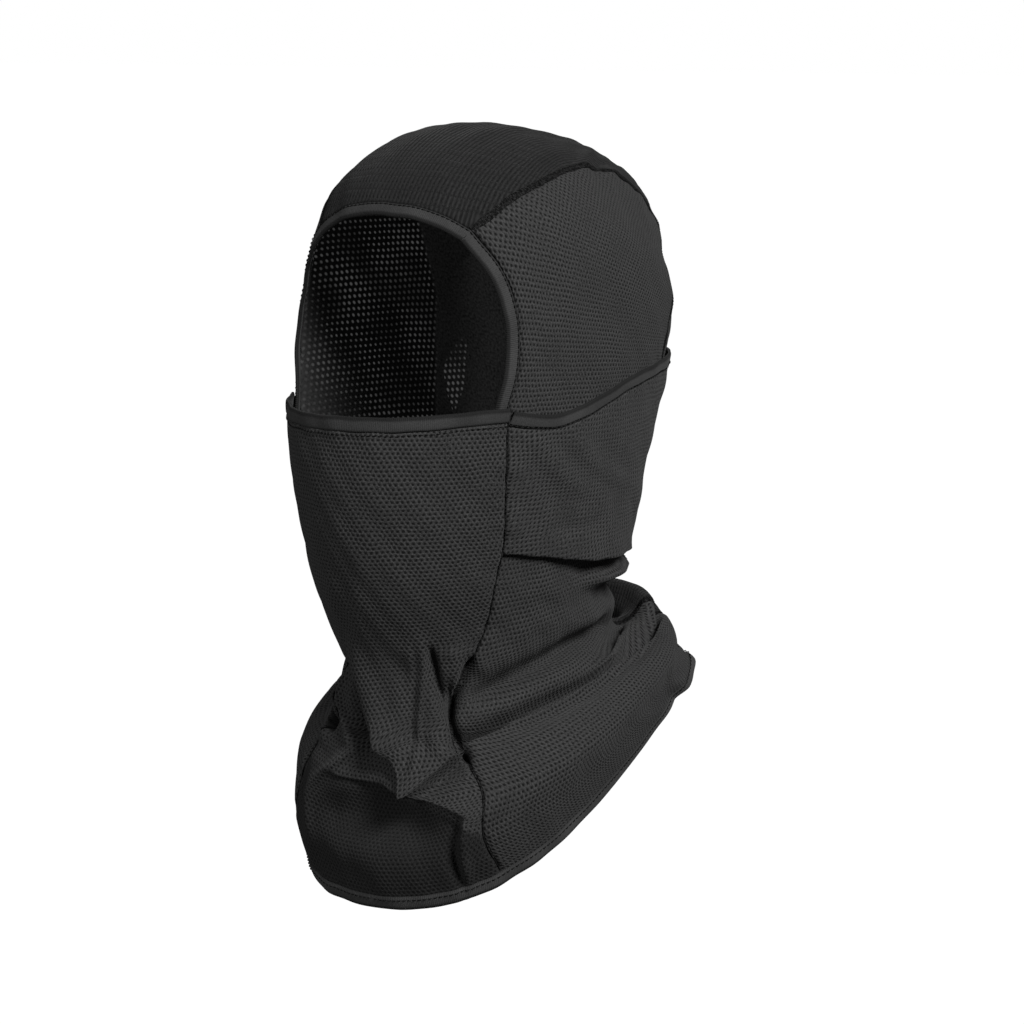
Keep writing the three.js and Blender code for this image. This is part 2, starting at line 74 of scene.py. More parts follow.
# Rings of the skin from the pole of the crown to the hem. The down column is a share of
# SKIN_LENGTH, the y columns of HOOD_DEPTH, the z columns of HOOD_HEIGHT and the half column of
# HOOD_WIDTH. The last two columns are the roundness of the front and the back half.
RING_COLUMNS = ("down", "front_y", "front_z", "back_y", "back_z", "half", "round_front", "round_back")
RING_ROWS = (
    (0.0, 0.433, -0.075, 0.433, -0.075, 0.0, 2.2, 2.2),  # pole
    (0.08, 0.3, -0.041, 0.455, -0.141, 0.209, 2.2, 2.2),  # crown back
    (0.15, 0.129, -0.01, 0.462, -0.193, 0.323, 2.2, 2.2),  # crown top
    (0.23, -0.119, -0.004, 0.464, -0.232, 0.408, 2.2, 2.2),  # crown front
    (0.3, -0.305, -0.062, 0.464, -0.26, 0.487, 2.2, 2.2),  # hairline
    (0.39, -0.433, -0.215, 0.462, -0.293, 0.5, 2.15, 2.2),  # brow
    (0.49, -0.5, -0.362, 0.45, -0.354, 0.481, 2.0, 2.1),  # nose
    (0.597, -0.5, -0.483, 0.41, -0.464, 0.437, 1.9, 2.0),  # mouth
    (0.69, -0.452, -0.594, 0.312, -0.547, 0.386, 1.9, 2.0),  # jaw
    (0.763, -0.391, -0.691, 0.315, -0.607, 0.367, 1.9, 2.0),  # neck
    (0.813, -0.381, -0.76, 0.338, -0.654, 0.392, 1.9, 2.0),  # collar tuck
    (0.875, -0.381, -0.815, 0.429, -0.63, 0.484, 2.4, 2.3),  # collar roll
    (0.911, -0.391, -0.856, 0.46, -0.642, 0.534, 2.5, 2.1),  # under roll
    (0.954, -0.438, -0.928, 0.476, -0.667, 0.5, 2.4, 2.3),  # bib
    (1.0, -0.39, -1.012, 0.49, -0.697, 0.456, 2.55, 3.4),  # hem
)

# Front edge of a hood side, round the face opening and down the front seam to the hem: the share
# of SKIN_LENGTH from the pole, and the angle.
FRONT_EDGE_ROWS = (
    (0.335, 31.8),
    (0.355, 43.2),
    (0.391, 52.6),
    (0.418, 55.4),
    (0.45, 56.4),
    (0.477, 55.4),
    (0.529, 56.0),
    (0.589, 57.2),
    (0.646, 58.6),
    (0.7, 55.8),
    (0.723, 53.6),
    (0.767, 43.8),
    (0.804, 34.6),
    (0.84, 31.3),
    (0.875, 31.8),
    (0.92, 35.8),
    (0.963, 43.5),
    (1.0, 50.3),
)

# Seam of the centre panel over the crown: the share of the seam run, and the places across and
# along the unrolled cloth from the pole, as shares of SKIN_LENGTH.
CROWN_SEAM_ROWS = (
    (0.0, 0.177, 0.285),
    (0.12, 0.193, 0.255),
    (0.22, 0.202, 0.221),
    (0.31, 0.207, 0.186),
    (0.4, 0.204, 0.16),
    (0.5, 0.197, 0.13),
    (0.62, 0.184, 0.095),
    (0.74, 0.171, 0.053),
    (0.87, 0.158, 0.0),
    (1.0, 0.152, -0.071),
)

# The same seam down the back to the hem, in the columns of the front edge.
BACK_SEAM_ROWS = (
    (0.168, 115.0),
    (0.23, 119.0),
    (0.299, 121.5),
    (0.391, 122.5),
    (0.489, 124.0),
    (0.55, 128.0),
    (0.597, 132.0),
    (0.691, 139.0),
    (0.813, 143.0),
    (0.875, 145.0),
    (1.0, 148.0),
)

# Top edge of the face opening, and of the mask below it: the angle, and the share of SKIN_LENGTH.
OPENING_TOP_ROWS = ((0.0, 0.322), (12.0, 0.324), (22.0, 0.328), (31.8, 0.335))
MASK_TOP_ROWS = ((0.0, 0.489), (16.0, 0.489), (30.0, 0.487), (44.0, 0.483), (60.0, 0.48))

# Upper and lower edge of the nape strap: the angle, and both as shares of SKIN_LENGTH.
STRAP_EDGE_ROWS = (
    (50.0, 0.48, 0.646),
    (64.0, 0.49, 0.652),
    (72.0, 0.491, 0.658),
    (86.5, 0.474, 0.67),
    (98.3, 0.455, 0.68),
    (126.0, 0.433, 0.69),
    (150.0, 0.423, 0.695),
    (180.0, 0.42, 0.697),
)


def both_sides(*rows):
    """Rows of folds, each followed by its mirror image on the other side of the face."""
    return tuple(turned for row in rows for turned in (row, (-row[0], row[1], -row[2], *row[3:])))


# Folds of the gathered cloth, as in the part: the place that a fold runs from and the place that
# it runs to, a bow in the middle, the rise, the half widths on the crown's and the hem's side of
# it, and how far it drops. Angles are in degrees, downs and bows in shares of SKIN_LENGTH, and the
# last four in FOLD.
PART_FOLDS = (
    (88, 0.708, 215, 0.721, 0.004, 1.15, 0.5, 0.55, 0),
    *both_sides(
        (150, 0.846, 34, 0.808, -0.04, -0.35, 0.8, 0.7, 0),
        (138, 0.86, 36, 0.826, -0.012, 0.25, 0.8, 0.6, 0),
        (140, 0.884, 32, 0.842, -0.016, -0.4, 0.6, 0.8, 0),
        (112, 0.99, 142, 0.985, 0, 0.45, 2.2, 2.2, 0),
    ),
    (44, 0.955, 3, 0.903, 0, 0.55, 1.4, 0.5, 0),
    (-30, 0.93, -1, 0.9, 0, 0.35, 1.2, 0.5, 0),
    (32, 0.952, -26, 0.94, -0.02, -0.5, 0.5, 1.2, 0),
    (18, 0.74, 17, 0.86, 0, -0.25, 0.5, 0.5, 0),
    (-24, 0.75, -4, 0.85, 0, -0.4, 0.7, 0.7, 0),
    (48, 0.765, 33, 0.81, 0, -0.3, 0.6, 0.6, 0),
)
# Finer folds that only the looks carry, in the same columns.
FINE_FOLDS = (
    # The mask's cloth hangs over the bib in a tongue.
    (-20, 0.736, 9, 0.858, 0.007, 0.5, 1.3, 0.18, 0.25),
    (-2, 0.8, 12, 0.918, -0.006, 0.5, 0.9, 0.18, 0.3),
    (-25, 0.755, 1, 0.875, -0.003, -0.7, 0.55, 0.6, 0),
    (38, 0.834, 3, 0.905, 0.003, 0.4, 0.9, 0.18, 0.3),
    (34, 0.854, 10, 0.908, 0.003, -0.6, 0.2, 0.5, 0),
    (27, 0.725, 11, 0.885, 0.006, 0.35, 0.9, 0.15, 0),
    (24, 0.725, 8, 0.885, 0.006, -0.25, 0.2, 0.35, 0),
    # The crease at the front seam and the two that run up from it.
    (29, 0.735, 34, 0.825, 0.003, -0.45, 0.2, 0.26, 0),
    (47, 0.755, 31, 0.82, -0.001, -0.6, 0.26, 0.2, 0),
    (35, 0.77, 31, 0.885, 0, -0.6, 0.2, 0.2, 0),
    (37, 0.74, 39, 0.79, 0, 0.2, 0.4, 0.4, 0),
    # The wing of the bib beside the tongue.
    (-2, 0.884, 38, 0.937, -0.002, 0.35, 0.6, 0.12, 0.25),
    (0, 0.896, 37, 0.95, -0.002, -0.35, 0.13, 0.6, 0),
    (31, 0.92, 36, 0.998, 0, 0.3, 0.3, 0.13, 0),
    (29, 0.92, 34, 0.998, 0, -0.3, 0.13, 0.3, 0),
    (18, 0.908, 33, 0.91, 0.004, -0.08, 0.2, 0.2, 0),
    # The far wing.
    (10, 0.9, -17, 0.894, -0.005, 0.25, 0.5, 0.13, 0.15),
    (-8, 0.855, -27, 0.96, -0.002, 0.35, 0.4, 0.13, 0),
    (-34, 0.765, -24, 0.88, 0.015, 0.35, 0.35, 0.35, 0),
    (-38, 0.8, -10, 0.865, -0.008, 0.25, 0.25, 0.25, 0),
    # The roll of the collar, its two valleys and the pocket at the nape.
    *both_sides(
        (40, 0.801, 128, 0.79, -0.009, -0.95, 0.45, 0.18, 0),
        (92, 0.808, 142, 0.832, 0, 0.5, 0.3, 0.6, 0),
        (96, 0.775, 150, 0.778, 0, 0.35, 0.7, 0.6, 0),
        (140, 0.868, 28, 0.838, -0.044, 0.7, 0.65, 0.55, 0.3),
        (150, 0.905, 24, 0.85, -0.052, -1.4, 0.75, 0.2, 0),
    ),
    (122, 0.864, 238, 0.864, 0, 0.5, 0.6, 0.5, 0),
    (148, 0.826, 212, 0.826, 0, -0.8, 0.5, 0.4, 0),
    # The neck draws in on the far side.
    (-84, 0.75, -20, 0.782, 0, -0.5, 0.55, 0.4, 0),
    # Low on the bib.
    (-10, 0.92, 22, 0.94, -0.008, -0.2, 0.6, 1.0, 0),
    (-30, 0.965, 4, 0.984, 0.003, -0.25, 0.8, 0.6, 0),
    # Puckers where the crown seam turns over the ear.
    (50, 0.165, 60, 0.235, 0, 0.14, 0.3, 0.3, 0),
    (58, 0.16, 66, 0.235, 0, -0.14, 0.3, 0.3, 0),
    (66, 0.165, 76, 0.24, 0, 0.12, 0.3, 0.3, 0),
    # Slack in the strap and the cloth under it.
    (62, 0.5, 92, 0.6, 0.01, 0.1, 0.5, 0.35, 0),
    (74, 0.5, 108, 0.59, 0.012, 0.12, 0.5, 0.35, 0),
    (88, 0.49, 124, 0.6, 0.01, 0.1, 0.5, 0.4, 0),
    (100, 0.57, 130, 0.65, -0.008, 0.12, 0.4, 0.4, 0),
    (70, 0.62, 100, 0.63, 0.006, -0.1, 0.5, 0.4, 0),
    (66, 0.7, 100, 0.74, -0.01, 0.12, 0.7, 0.5, 0),
    (60, 0.74, 110, 0.78, -0.012, 0.14, 0.7, 0.5, 0),
)
# The cloth is never quite even: waves of a few lengths and headings, all of one small height. A
# row holds the waves in one turn, those in SKIN_LENGTH, and where they start.
WAVE_ROWS = (
    (7, 5.3, 0.4),
    (-11, 8.1, 1.9),
    (17, 3.7, 3.3),
    (-5, 13.4, 4.6),
    (23, 10.7, 5.2),
    (-29, 17.9, 0.9),
)
WAVE_HEIGHT = 0.16

# Radius at which an angle counts as a length, shares and lengths over which folds fade in and out,
# and how much calmer the fine ones are at the hem.
FOLD_RADIUS = 66.0
FOLD_FADE = 0.25
FINE_FADE_LENGTH = 14.0
HEM_CALM_FROM = 0.965
HEM_CALM_TO = 0.99
HEM_CALM = 0.85

RINGS = dict(zip(RING_COLUMNS, np.array(RING_ROWS).T))
FRONT_EDGE = np.array(FRONT_EDGE_ROWS).T
CROWN_SEAM = np.array(CROWN_SEAM_ROWS).T
BACK_SEAM = np.array(BACK_SEAM_ROWS).T
OPENING_TOP = np.array(OPENING_TOP_ROWS).T
MASK_TOP = np.array(MASK_TOP_ROWS).T
STRAP_EDGES = np.array(STRAP_EDGE_ROWS).T


def mix(a, b, share):
    """The value a where share is 0 and b where it is 1."""
    return a + (b - a) * share


def ease(low, high, value):
    """0 below low, 1 above high, and a smooth S between."""
    share = np.clip((value - low) / (high - low), 0.0, 1.0)
    return share * share * (3 - 2 * share)


def signed_power(value, power):
    """A power of the value's size, with the value's own sign."""
    return np.sign(value) * np.abs(value) ** power


def read(x, y, value):
    """A smooth cubic through a table: each row's slope is the mean of the slopes of its two spans,
    each weighted by the length of the other span."""
    step = np.diff(x)
    rise = np.diff(y) / step
    inner = (rise[:-1] * step[1:] + rise[1:] * step[:-1]) / (step[:-1] + step[1:])
    slope = np.concatenate([rise[:1], inner, rise[-1:]])
    i = np.clip(np.searchsorted(x, value, side="left") - 1, 0, len(x) - 2)
    u = np.clip((value - x[i]) / step[i], 0.0, 1.0)
    rest = 1 - u
    start = rest * rest * ((1 + 2 * u) * y[i] + u * step[i] * slope[i])
    return start + u * u * ((3 - 2 * u) * y[i + 1] - rest * step[i] * slope[i + 1])


def ring_point(k, angle):
    """A point of ring k: x goes as a power of the angle's sine, and y and z run between the ring's
    back and front as a power of its cosine, so the ring is a tilted rounded loop."""
    c, s = np.cos(np.radians(angle)), np.sin(np.radians(angle))
    power = 2 / np.where(c > 0, RINGS["round_front"][k], RINGS["round_back"][k])
    forward = (1 + signed_power(c, power)) / 2
    return np.stack(
        [
            RINGS["half"][k] * HOOD_WIDTH * signed_power(s, power),
            mix(RINGS["back_y"][k], RINGS["front_y"][k], forward) * HOOD_DEPTH,
            mix(RINGS["back_z"][k], RINGS["front_z"][k], forward) * HOOD_HEIGHT,
        ],
        axis=-1,
    )


def bare(down, angle):
    """The skin without folds: at one angle, a smooth cubic down through the points of the rings,
    which crosses the pole to the far side where down is negative."""
    table = RINGS["down"]
    last = len(table) - 1
    down, angle = np.broadcast_arrays(down, angle)
    share = np.abs(down) / SKIN_LENGTH
    angle = np.where(down < 0, angle + 180.0, angle)
    i = np.clip(np.searchsorted(table, share, side="left") - 1, 0, last - 1)
    before, after = np.maximum(i - 1, 0), np.minimum(i + 2, last)
    p0 = np.where((i == 0)[..., None], ring_point(np.ones_like(i), angle + 180.0), ring_point(before, angle))
    p1, p2, p3 = ring_point(i, angle), ring_point(i + 1, angle), ring_point(after, angle)
    span = (table[i + 1] - table[i])[..., None]
    a = np.where(i == 0, table[1], table[i] - table[before])[..., None]
    b = (table[after] - table[i + 1])[..., None]
    here = (p2 - p1) / span
    start = ((p1 - p0) / a * span + here * a) / (a + span)
    b_safe = np.where(b > 0, b, 1.0)
    end = np.where(b > 0, (here * b + (p3 - p2) / b_safe * span) / (span + b), here)
    u = (share - table[i])[..., None] / span
    rest = 1 - u
    first = rest * rest * ((1 + 2 * u) * p1 + u * span * start)
    return first + u * u * ((3 - 2 * u) * p2 - rest * span * end)


def outward(skin, down, angle):
    """Outward direction of a skin: the cross product of a small step down and a small step round."""
    along = skin(down + STEP_DOWN, angle) - skin(down - STEP_DOWN, angle)
    across = skin(down, angle + STEP_ROUND) - skin(down, angle - STEP_ROUND)
    out = np.cross(along, across)
    return out / np.linalg.norm(out, axis=-1, keepdims=True)


def fold_rise(down, angle):
    """How far the folds lift the cloth and how far they drop it. Each fold is a bell curve across
    its own bowed line, wider or narrower on its two sides, that fades in and out along the line."""
    rise, drop = np.zeros(np.shape(down)), np.zeros(np.shape(down))
    for per_turn, per_length, shift in WAVE_ROWS:
        phase = np.radians(angle) * per_turn + down / SKIN_LENGTH * 2 * np.pi * per_length + shift
        rise = rise + WAVE_HEIGHT * np.sin(phase)
    hem_calm = 1 - HEM_CALM * ease(HEM_CALM_FROM, HEM_CALM_TO, down / SKIN_LENGTH)
    for k, row in enumerate(PART_FOLDS + FINE_FOLDS):
        fine = k >= len(PART_FOLDS)
        from_angle, from_down, to_angle, to_down, bow, high, over, under, fall = row
        middle = (from_angle + to_angle) / 2
        near = (angle - middle + 180.0) % 360.0 - 180.0 + middle
        x0, y0 = np.radians(from_angle) * FOLD_RADIUS, from_down * SKIN_LENGTH
        x1, y1 = np.radians(to_angle) * FOLD_RADIUS, to_down * SKIN_LENGTH
        length = np.hypot(x1 - x0, y1 - y0)
        dx, dy = (x1 - x0) / length, (y1 - y0) / length
        flip = -1 if dx < 0 else 1
        x, y = np.radians(near) * FOLD_RADIUS - x0, down - y0
        at = np.clip((x * dx + y * dy) / length, 0.0, 1.0)
        off = (y * dx - x * dy) * flip - bow * SKIN_LENGTH * 4 * at * (1 - at)
        wide = np.where(off < 0, over, under) * FOLD
        ends = min(FOLD_FADE, FINE_FADE_LENGTH / length) if fine else FOLD_FADE
        fade = ease(0, ends, at) * ease(0, ends, 1 - at) * (hem_calm if fine else 1.0)
        bell = fade * np.exp(-((off / wide) ** 2)) * FOLD
        rise = rise + high * bell
        drop = drop + fall * bell
    return rise, drop


def folded(down, angle):
    """The hood's outer skin with its folds, above the origin by the thickness of the crown."""
    down, angle = np.broadcast_arrays(np.asarray(down, float), np.asarray(angle, float))
    rise, drop = fold_rise(down, angle)
    point = bare(down, angle) + outward(bare, down, angle) * rise[..., None]
    point[..., 2] += WALL - drop
    return point


def lifted(down, angle, lift):
    """The folded skin moved out by lift."""
    return folded(down, angle) + outward(folded, down, angle) * np.asarray(lift, float)[..., None]


# Where the mask comes down onto the hood, and where the strap starts to stand off.
COVER_TOP = 0.67 * SKIN_LENGTH
COVER_END = 0.765 * SKIN_LENGTH
STAND_OFF_TOP = 0.57 * SKIN_LENGTH
STAND_OFF_END = 0.7 * SKIN_LENGTH
STAND_OFF_FROM = 66.0
STAND_OFF_FULL = 122.0


def mask_lift(down):
    """How far the mask lies off the hood: all the way at the top, not at all below the neck."""
    return COVER_LIFT * (1 - ease(COVER_TOP, COVER_END, down))


def strap_skin(down, angle, lift):
    """The strap's skin: the hood's moved out by lift, then level with the ground away from the
    nape, so that the strap hangs straight down from the back of the head."""
    out = outward(folded, down, angle)
    turn = np.minimum(np.abs(angle), 360.0 - np.abs(angle))
    push = STRAP_STAND_OFF * ease(STAND_OFF_TOP, STAND_OFF_END, down)
    push = push * ease(STAND_OFF_FROM, STAND_OFF_FULL, turn)
    level = out * (1.0, 1.0, 0.0)
    level = level / np.linalg.norm(level, axis=-1, keepdims=True)
    return folded(down, angle) + out * np.asarray(lift, float)[..., None] + level * push[..., None]


def beside(down, angle, toward_down, toward_angle, distance):
    """Places a distance to the right of a line, looking along it."""
    here = folded(down, angle)
    per_down = np.linalg.norm(folded(down + STEP_DOWN, angle) - here, axis=-1) / STEP_DOWN
    per_angle = np.linalg.norm(folded(down, angle + STEP_ROUND) - here, axis=-1) / STEP_ROUND
    x, y = toward_angle * per_angle, toward_down * per_down
    length = np.hypot(x, y)
    return down - x / length * distance / per_down, angle + y / length * distance / per_angle


def heading(down, angle):
    """The direction of a line of places at each of its places."""
    return np.gradient(down), np.gradient(angle)


def beside_line(line, distance):
    """A line's places moved a distance to its right."""
    return beside(*line, *heading(*line), distance)


def front_angle(down):
    """Angle of the front edge of the left hood side at a distance down."""
    return read(*FRONT_EDGE, down / SKIN_LENGTH)


def back_angle(down):
    """Angle of the left back seam at a distance down."""
    return read(*BACK_SEAM, down / SKIN_LENGTH)


def opening_top(angle):
    """Distance down to the top edge of the face opening, alike on both sides."""
    return read(*OPENING_TOP, np.abs(angle)) * SKIN_LENGTH


def mask_top(angle):
    """Distance down to the top edge of the mask, alike on both sides."""
    return read(*MASK_TOP, np.abs(angle)) * SKIN_LENGTH


HEM_TUCK = 1.5
EVEN_FROM = 0.646 * SKIN_LENGTH
CLOTH_END = SKIN_LENGTH - HEM_WIDTH
PANEL_END = CLOTH_END + HEM_GAP + HEM_TUCK
FRONT_TOP = FRONT_EDGE[0][0] * SKIN_LENGTH
BACK_TOP = BACK_SEAM[0][0] * SKIN_LENGTH
MASK_CORNER = front_angle(mask_top(CHEEK_ANGLE))

# How finely the looks divide the cloth, and the lines along its edges and seams.
SIDE_COLUMNS = 120
SIDE_UPPER_ROWS = 80
LOWER_ROWS = 170
CENTRE_COLUMNS = 120
CENTRE_CROWN_ROWS = 90
CENTRE_BACK_ROWS = 70
FACE_COLUMNS = 150
FACE_UPPER_ROWS = 60
STRAP_COLUMNS = 300
STRAP_ROWS = 60
OPENING_STEPS = 90
ARCH_STEPS = 60
MASK_EDGE_STEPS = 120
STRAP_EDGE_STEPS = 260
HEM_STEPS = 420
CROWN_SEAM_STEPS = 120
SEAM_STEPS = 300


def shares(count):
    """Shares from 0 to 1 in count even steps."""
    return np.linspace(0.0, 1.0, count + 1)


def rows_from(top, upper_rows):
    """Distances down the cloth: packed towards the top as far as the neck, even below it."""
    upper = mix(top, EVEN_FROM, shares(upper_rows) ** ROW_PACKING)
    return np.concatenate([upper, mix(EVEN_FROM, PANEL_END, shares(LOWER_ROWS))[1:]])


def crown_line(count):
    """Places of the left crown seam in count even steps, from its two places on the flat cloth."""
    at = shares(count)
    across, along = (read(CROWN_SEAM[0], column, at) * SKIN_LENGTH for column in CROWN_SEAM[1:])
    return np.hypot(across, along), np.degrees(np.arctan2(across, along))


def side_places():
    """Places of a hood side. Its top edge is the crown seam, whose shape fades out evenly down to
    the cheek; below, the rows sweep straight from the front seam to the back seam."""
    top = crown_line(SIDE_COLUMNS)
    front_down = rows_from(FRONT_TOP, SIDE_UPPER_ROWS)
    front = front_down, front_angle(front_down)
    back_down = rows_from(BACK_TOP, SIDE_UPPER_ROWS)
    back = back_down, back_angle(back_down)
    fade = np.clip(1 - np.arange(len(back_down)) / SIDE_UPPER_ROWS, 0.0, 1.0)[:, None]
    u = shares(SIDE_COLUMNS)[None, :]
    grid = []
    for edge, left, right in zip(top, front, back):
        corner = (edge[0] + left[0]) / 2
        left[0], right[0] = corner, edge[-1]
        edge[0] = corner
        sweep = mix(left[:, None], right[:, None], u)
        grid.append(sweep + (edge[None, :] - mix(edge[0], edge[-1], u)) * fade)
    return grid


# Where the centre panel's rows have bent into rings, and the share of its crown rows that take the
# opening's arch.
SPREAD_END = 0.42 * SKIN_LENGTH
OPENING_BLEND = 0.45


def centre_places():
    """Places of the centre panel. Over the crown its rows run straight across between the two
    seams on the unrolled cloth, apart from the first ones, which follow the opening's arch. Down
    the back they bend into rings."""
    top = crown_line(CENTRE_CROWN_ROWS)
    down = rows_from(BACK_TOP, CENTRE_BACK_ROWS)
    back = down, back_angle(down)
    w = (2 * shares(CENTRE_COLUMNS) - 1)[None, :]
    edge_down, edge_angle = (column[:, None] for column in top)
    x = edge_down * np.sin(np.radians(edge_angle)) * w
    y = edge_down * np.cos(np.radians(edge_angle)) * np.ones_like(w)
    arch = opening_top(edge_angle * w) - opening_top(edge_angle) + edge_down
    pull = (1 - ease(0, OPENING_BLEND, shares(CENTRE_CROWN_ROWS)))[:, None]
    x_top = mix(x, arch * np.sin(np.radians(edge_angle * w)), pull)
    y_top = mix(y, arch * np.cos(np.radians(edge_angle * w)), pull)
    edge_down, edge_angle = (column[1:, None] for column in back)
    bend = 180.0 - (180.0 - edge_angle) * w
    arc = ease(BACK_TOP, SPREAD_END, edge_down)
    x_back = mix(edge_down * np.sin(np.radians(edge_angle)) * w, edge_down * np.sin(np.radians(bend)), arc)
    y_flat = edge_down * np.cos(np.radians(edge_angle)) * np.ones_like(w)
    y_back = mix(y_flat, edge_down * np.cos(np.radians(bend)), arc)
    x, y = np.concatenate([x_top, x_back]), np.concatenate([y_top, y_back])
    return np.hypot(x, y), np.degrees(np.arctan2(x, y)) % 360.0


def face_places():
    """Places of the face panel: rows from the left seam to the right one, curved at the top like
    the mask's edge and even below the cheek."""
    start = mask_top(MASK_CORNER) + BINDING_WIDTH
    upper = mix(start, EVEN_FROM, shares(FACE_UPPER_ROWS))
    down = np.concatenate([upper, mix(EVEN_FROM, PANEL_END, shares(LOWER_ROWS))[1:]])
    angle = front_angle(down)
    fade = np.clip(1 - np.arange(len(down)) / FACE_UPPER_ROWS, 0.0, 1.0)[:, None]
    turned = angle[:, None] * (2 * shares(FACE_COLUMNS) - 1)[None, :]
    return down[:, None] + (mask_top(turned) - mask_top(angle[:, None])) * fade, turned


def strap_edge(angle, share):
    """Distance down to a share of the strap's height, between its top and its bottom edge."""
    turn = np.minimum(angle, 360.0 - angle)
    top = read(STRAP_EDGES[0], STRAP_EDGES[1], turn) * SKIN_LENGTH + BINDING_WIDTH
    return mix(top, read(STRAP_EDGES[0], STRAP_EDGES[2], turn) * SKIN_LENGTH, share)


def strap_places(share, count):
    """Places along the strap at shares of its height, from the left seam round to the right."""
    share = np.asarray(share, float)[..., None]
    edge = front_angle(strap_edge(MASK_CORNER, share))
    angle = mix(edge, 360.0 - edge, shares(count))
    return strap_edge(angle, share), angle


# Meshes.


def add_mesh(name, points, blocks, material):
    """A smooth mesh object from points in millimetres. Each block holds faces of one number of
    corners, and a UV pair in millimetres for each corner."""
    corners = np.concatenate([faces.ravel() for faces, _ in blocks])
    sizes = np.concatenate([np.full(len(faces), faces.shape[1]) for faces, _ in blocks])
    uv = np.concatenate([pairs.reshape(-1, 2) for _, pairs in blocks])
    mesh = bpy.data.meshes.new(name)
    mesh.vertices.add(len(points))
    mesh.vertices.foreach_set("co", (points * MM).astype(np.float32).ravel())
    mesh.loops.add(len(corners))
    mesh.loops.foreach_set("vertex_index", corners.astype(np.int32))
    mesh.polygons.add(len(sizes))
    mesh.polygons.foreach_set("loop_start", (np.cumsum(sizes) - sizes).astype(np.int32))
    mesh.polygons.foreach_set("loop_total", sizes.astype(np.int32))
    layer = mesh.uv_layers.new(name="cloth")
    layer.data.foreach_set("uv", (uv * MM).astype(np.float32).ravel())
    mesh.update(calc_edges=True)
    mesh.polygons.foreach_set("use_smooth", np.ones(len(sizes), bool))
    mesh.materials.append(material)
    obj = bpy.data.objects.new(name, mesh)
    bpy.context.scene.collection.objects.link(obj)
    return obj


def grid_faces(rows, columns):
    """Quads of a grid of points, as indices into its flattened points."""
    i = np.arange(rows - 1)[:, None] * columns
    j = np.arange(columns - 1)[None, :]
    corner = i + j
    return np.stack([corner, corner + columns, corner + columns + 1, corner + 1], axis=-1).reshape(-1, 4)


def distance_along(points, axis):
    """Distance run along each line of a grid of points, from its first point."""
    steps = np.linalg.norm(np.diff(points, axis=axis), axis=-1)
    zero = np.zeros_like(np.take(steps, [0], axis=axis))
    return np.concatenate([zero, np.cumsum(steps, axis=axis)], axis=axis)


def faces_inward(points, down, angle):
    """True if a grid's rows and columns turn the other way than the skin's, seen in its middle."""
    i, j = points.shape[0] // 2, points.shape[1] // 2
    turn = np.cross(points[i + 1, j] - points[i, j], points[i, j + 1] - points[i, j])
    return turn @ outward(folded, down[i, j], angle[i, j]) < 0


# Near a seam the cloth turns in, and it puckers along the thread.
SEAM_DIP = 1.2
SEAM_DIP_WIDTH = 1.3
PUCKER = 0.35
PUCKER_WIDTH = 6.0
PUCKER_LENGTHS = (9.0, 14.3)


def seam_dip(away, along):
    """A groove with a bell's profile, and beside it two mingled waves that die out with distance."""
    first, second = (np.sin(2 * np.pi * along / length) for length in PUCKER_LENGTHS)
    ripple = PUCKER * (first + second) / 2 * np.exp(-away / PUCKER_WIDTH)
    return ripple - SEAM_DIP * np.exp(-((away / SEAM_DIP_WIDTH) ** 2))


def panel(name, places, lift, skin, materials, mirrored=False):
    """A cloth panel: a grid of places lifted off the skin, given a wall by Solidify. Its UV map is
    the cloth laid flat: the distance run across a row from the panel's middle column, and down by
    the distance that the middle column has run at the same place. The first material is the
    outside's, the second the inside's and the edges'."""
    down, angle = places
    if mirrored:
        angle = -angle
    base = skin(down, angle, np.zeros(down.shape))
    across = distance_along(base, 1)
    along = distance_along(base, 0)
    points = skin(down, angle, lift(down, across, along))
    middle = across.shape[1] // 2
    across = across - across[:, [middle]]
    run = np.interp(down, down[:, middle], along[:, middle]) + np.minimum(down - down[0, middle], 0.0)
    uv = np.stack([across, -run], axis=-1).reshape(-1, 2)

    faces = grid_faces(*down.shape)
    if faces_inward(points, down, angle):
        faces = faces[:, ::-1]
    obj = add_mesh(name, points.reshape(-1, 3), [(faces, uv[faces])], materials[0])
    obj.data.materials.append(materials[1])
    wall = obj.modifiers.new("wall", "SOLIDIFY")
    wall.thickness = WALL * MM
    wall.offset = -1.0
    wall.material_offset = 1
    wall.material_offset_rim = 1
    return obj


def carried(name, line, profile, skin, lift, material, closed=False):
    """A profile carried along a line of places. Its side runs to the right of the line and its rise
    away from the skin. The UV map holds the distance run along the line and the profile's side."""
    side, rise = profile
    down, angle = line
    toward = (np.zeros_like(down), -np.ones_like(angle)) if closed else heading(down, angle)
    at_down, at_angle = beside(
        down[:, None], angle[:, None], toward[0][:, None], toward[1][:, None], side[None, :]
    )
    points = skin(at_down, at_angle, rise + np.reshape(lift, (-1, 1)))
    count, sides = at_down.shape
    turns = np.arange(count + closed) % count
    run = distance_along(points.mean(axis=1)[turns][:, None], 0)
    places = turns[:, None] * sides + np.arange(sides + 1) % sides
    uv = np.stack(np.broadcast_arrays(run, np.append(side, side[0])), axis=-1)
    faces = grid_faces(*places.shape)
    blocks = [(places.ravel()[faces], uv.reshape(-1, 2)[faces])]
    if not closed:
        ring = np.arange(sides)[None, :]
        blank = np.zeros((1, sides, 2))
        blocks += [(ring[:, ::-1], blank), (ring + (count - 1) * sides, blank)]
    return add_mesh(name, points.reshape(-1, 3), blocks, material)


# How far a bound edge grips the cloth, and the corners of the sections of tapes, flat seams and
# threads.
TAPE_GRIP = 0.9
TAPE_POINTS = 28
FLATLOCK_POINTS = 12
THREAD_POINTS = 6
BOX = (3.6, 2.4)
ROUND = (2.0, 2.0)


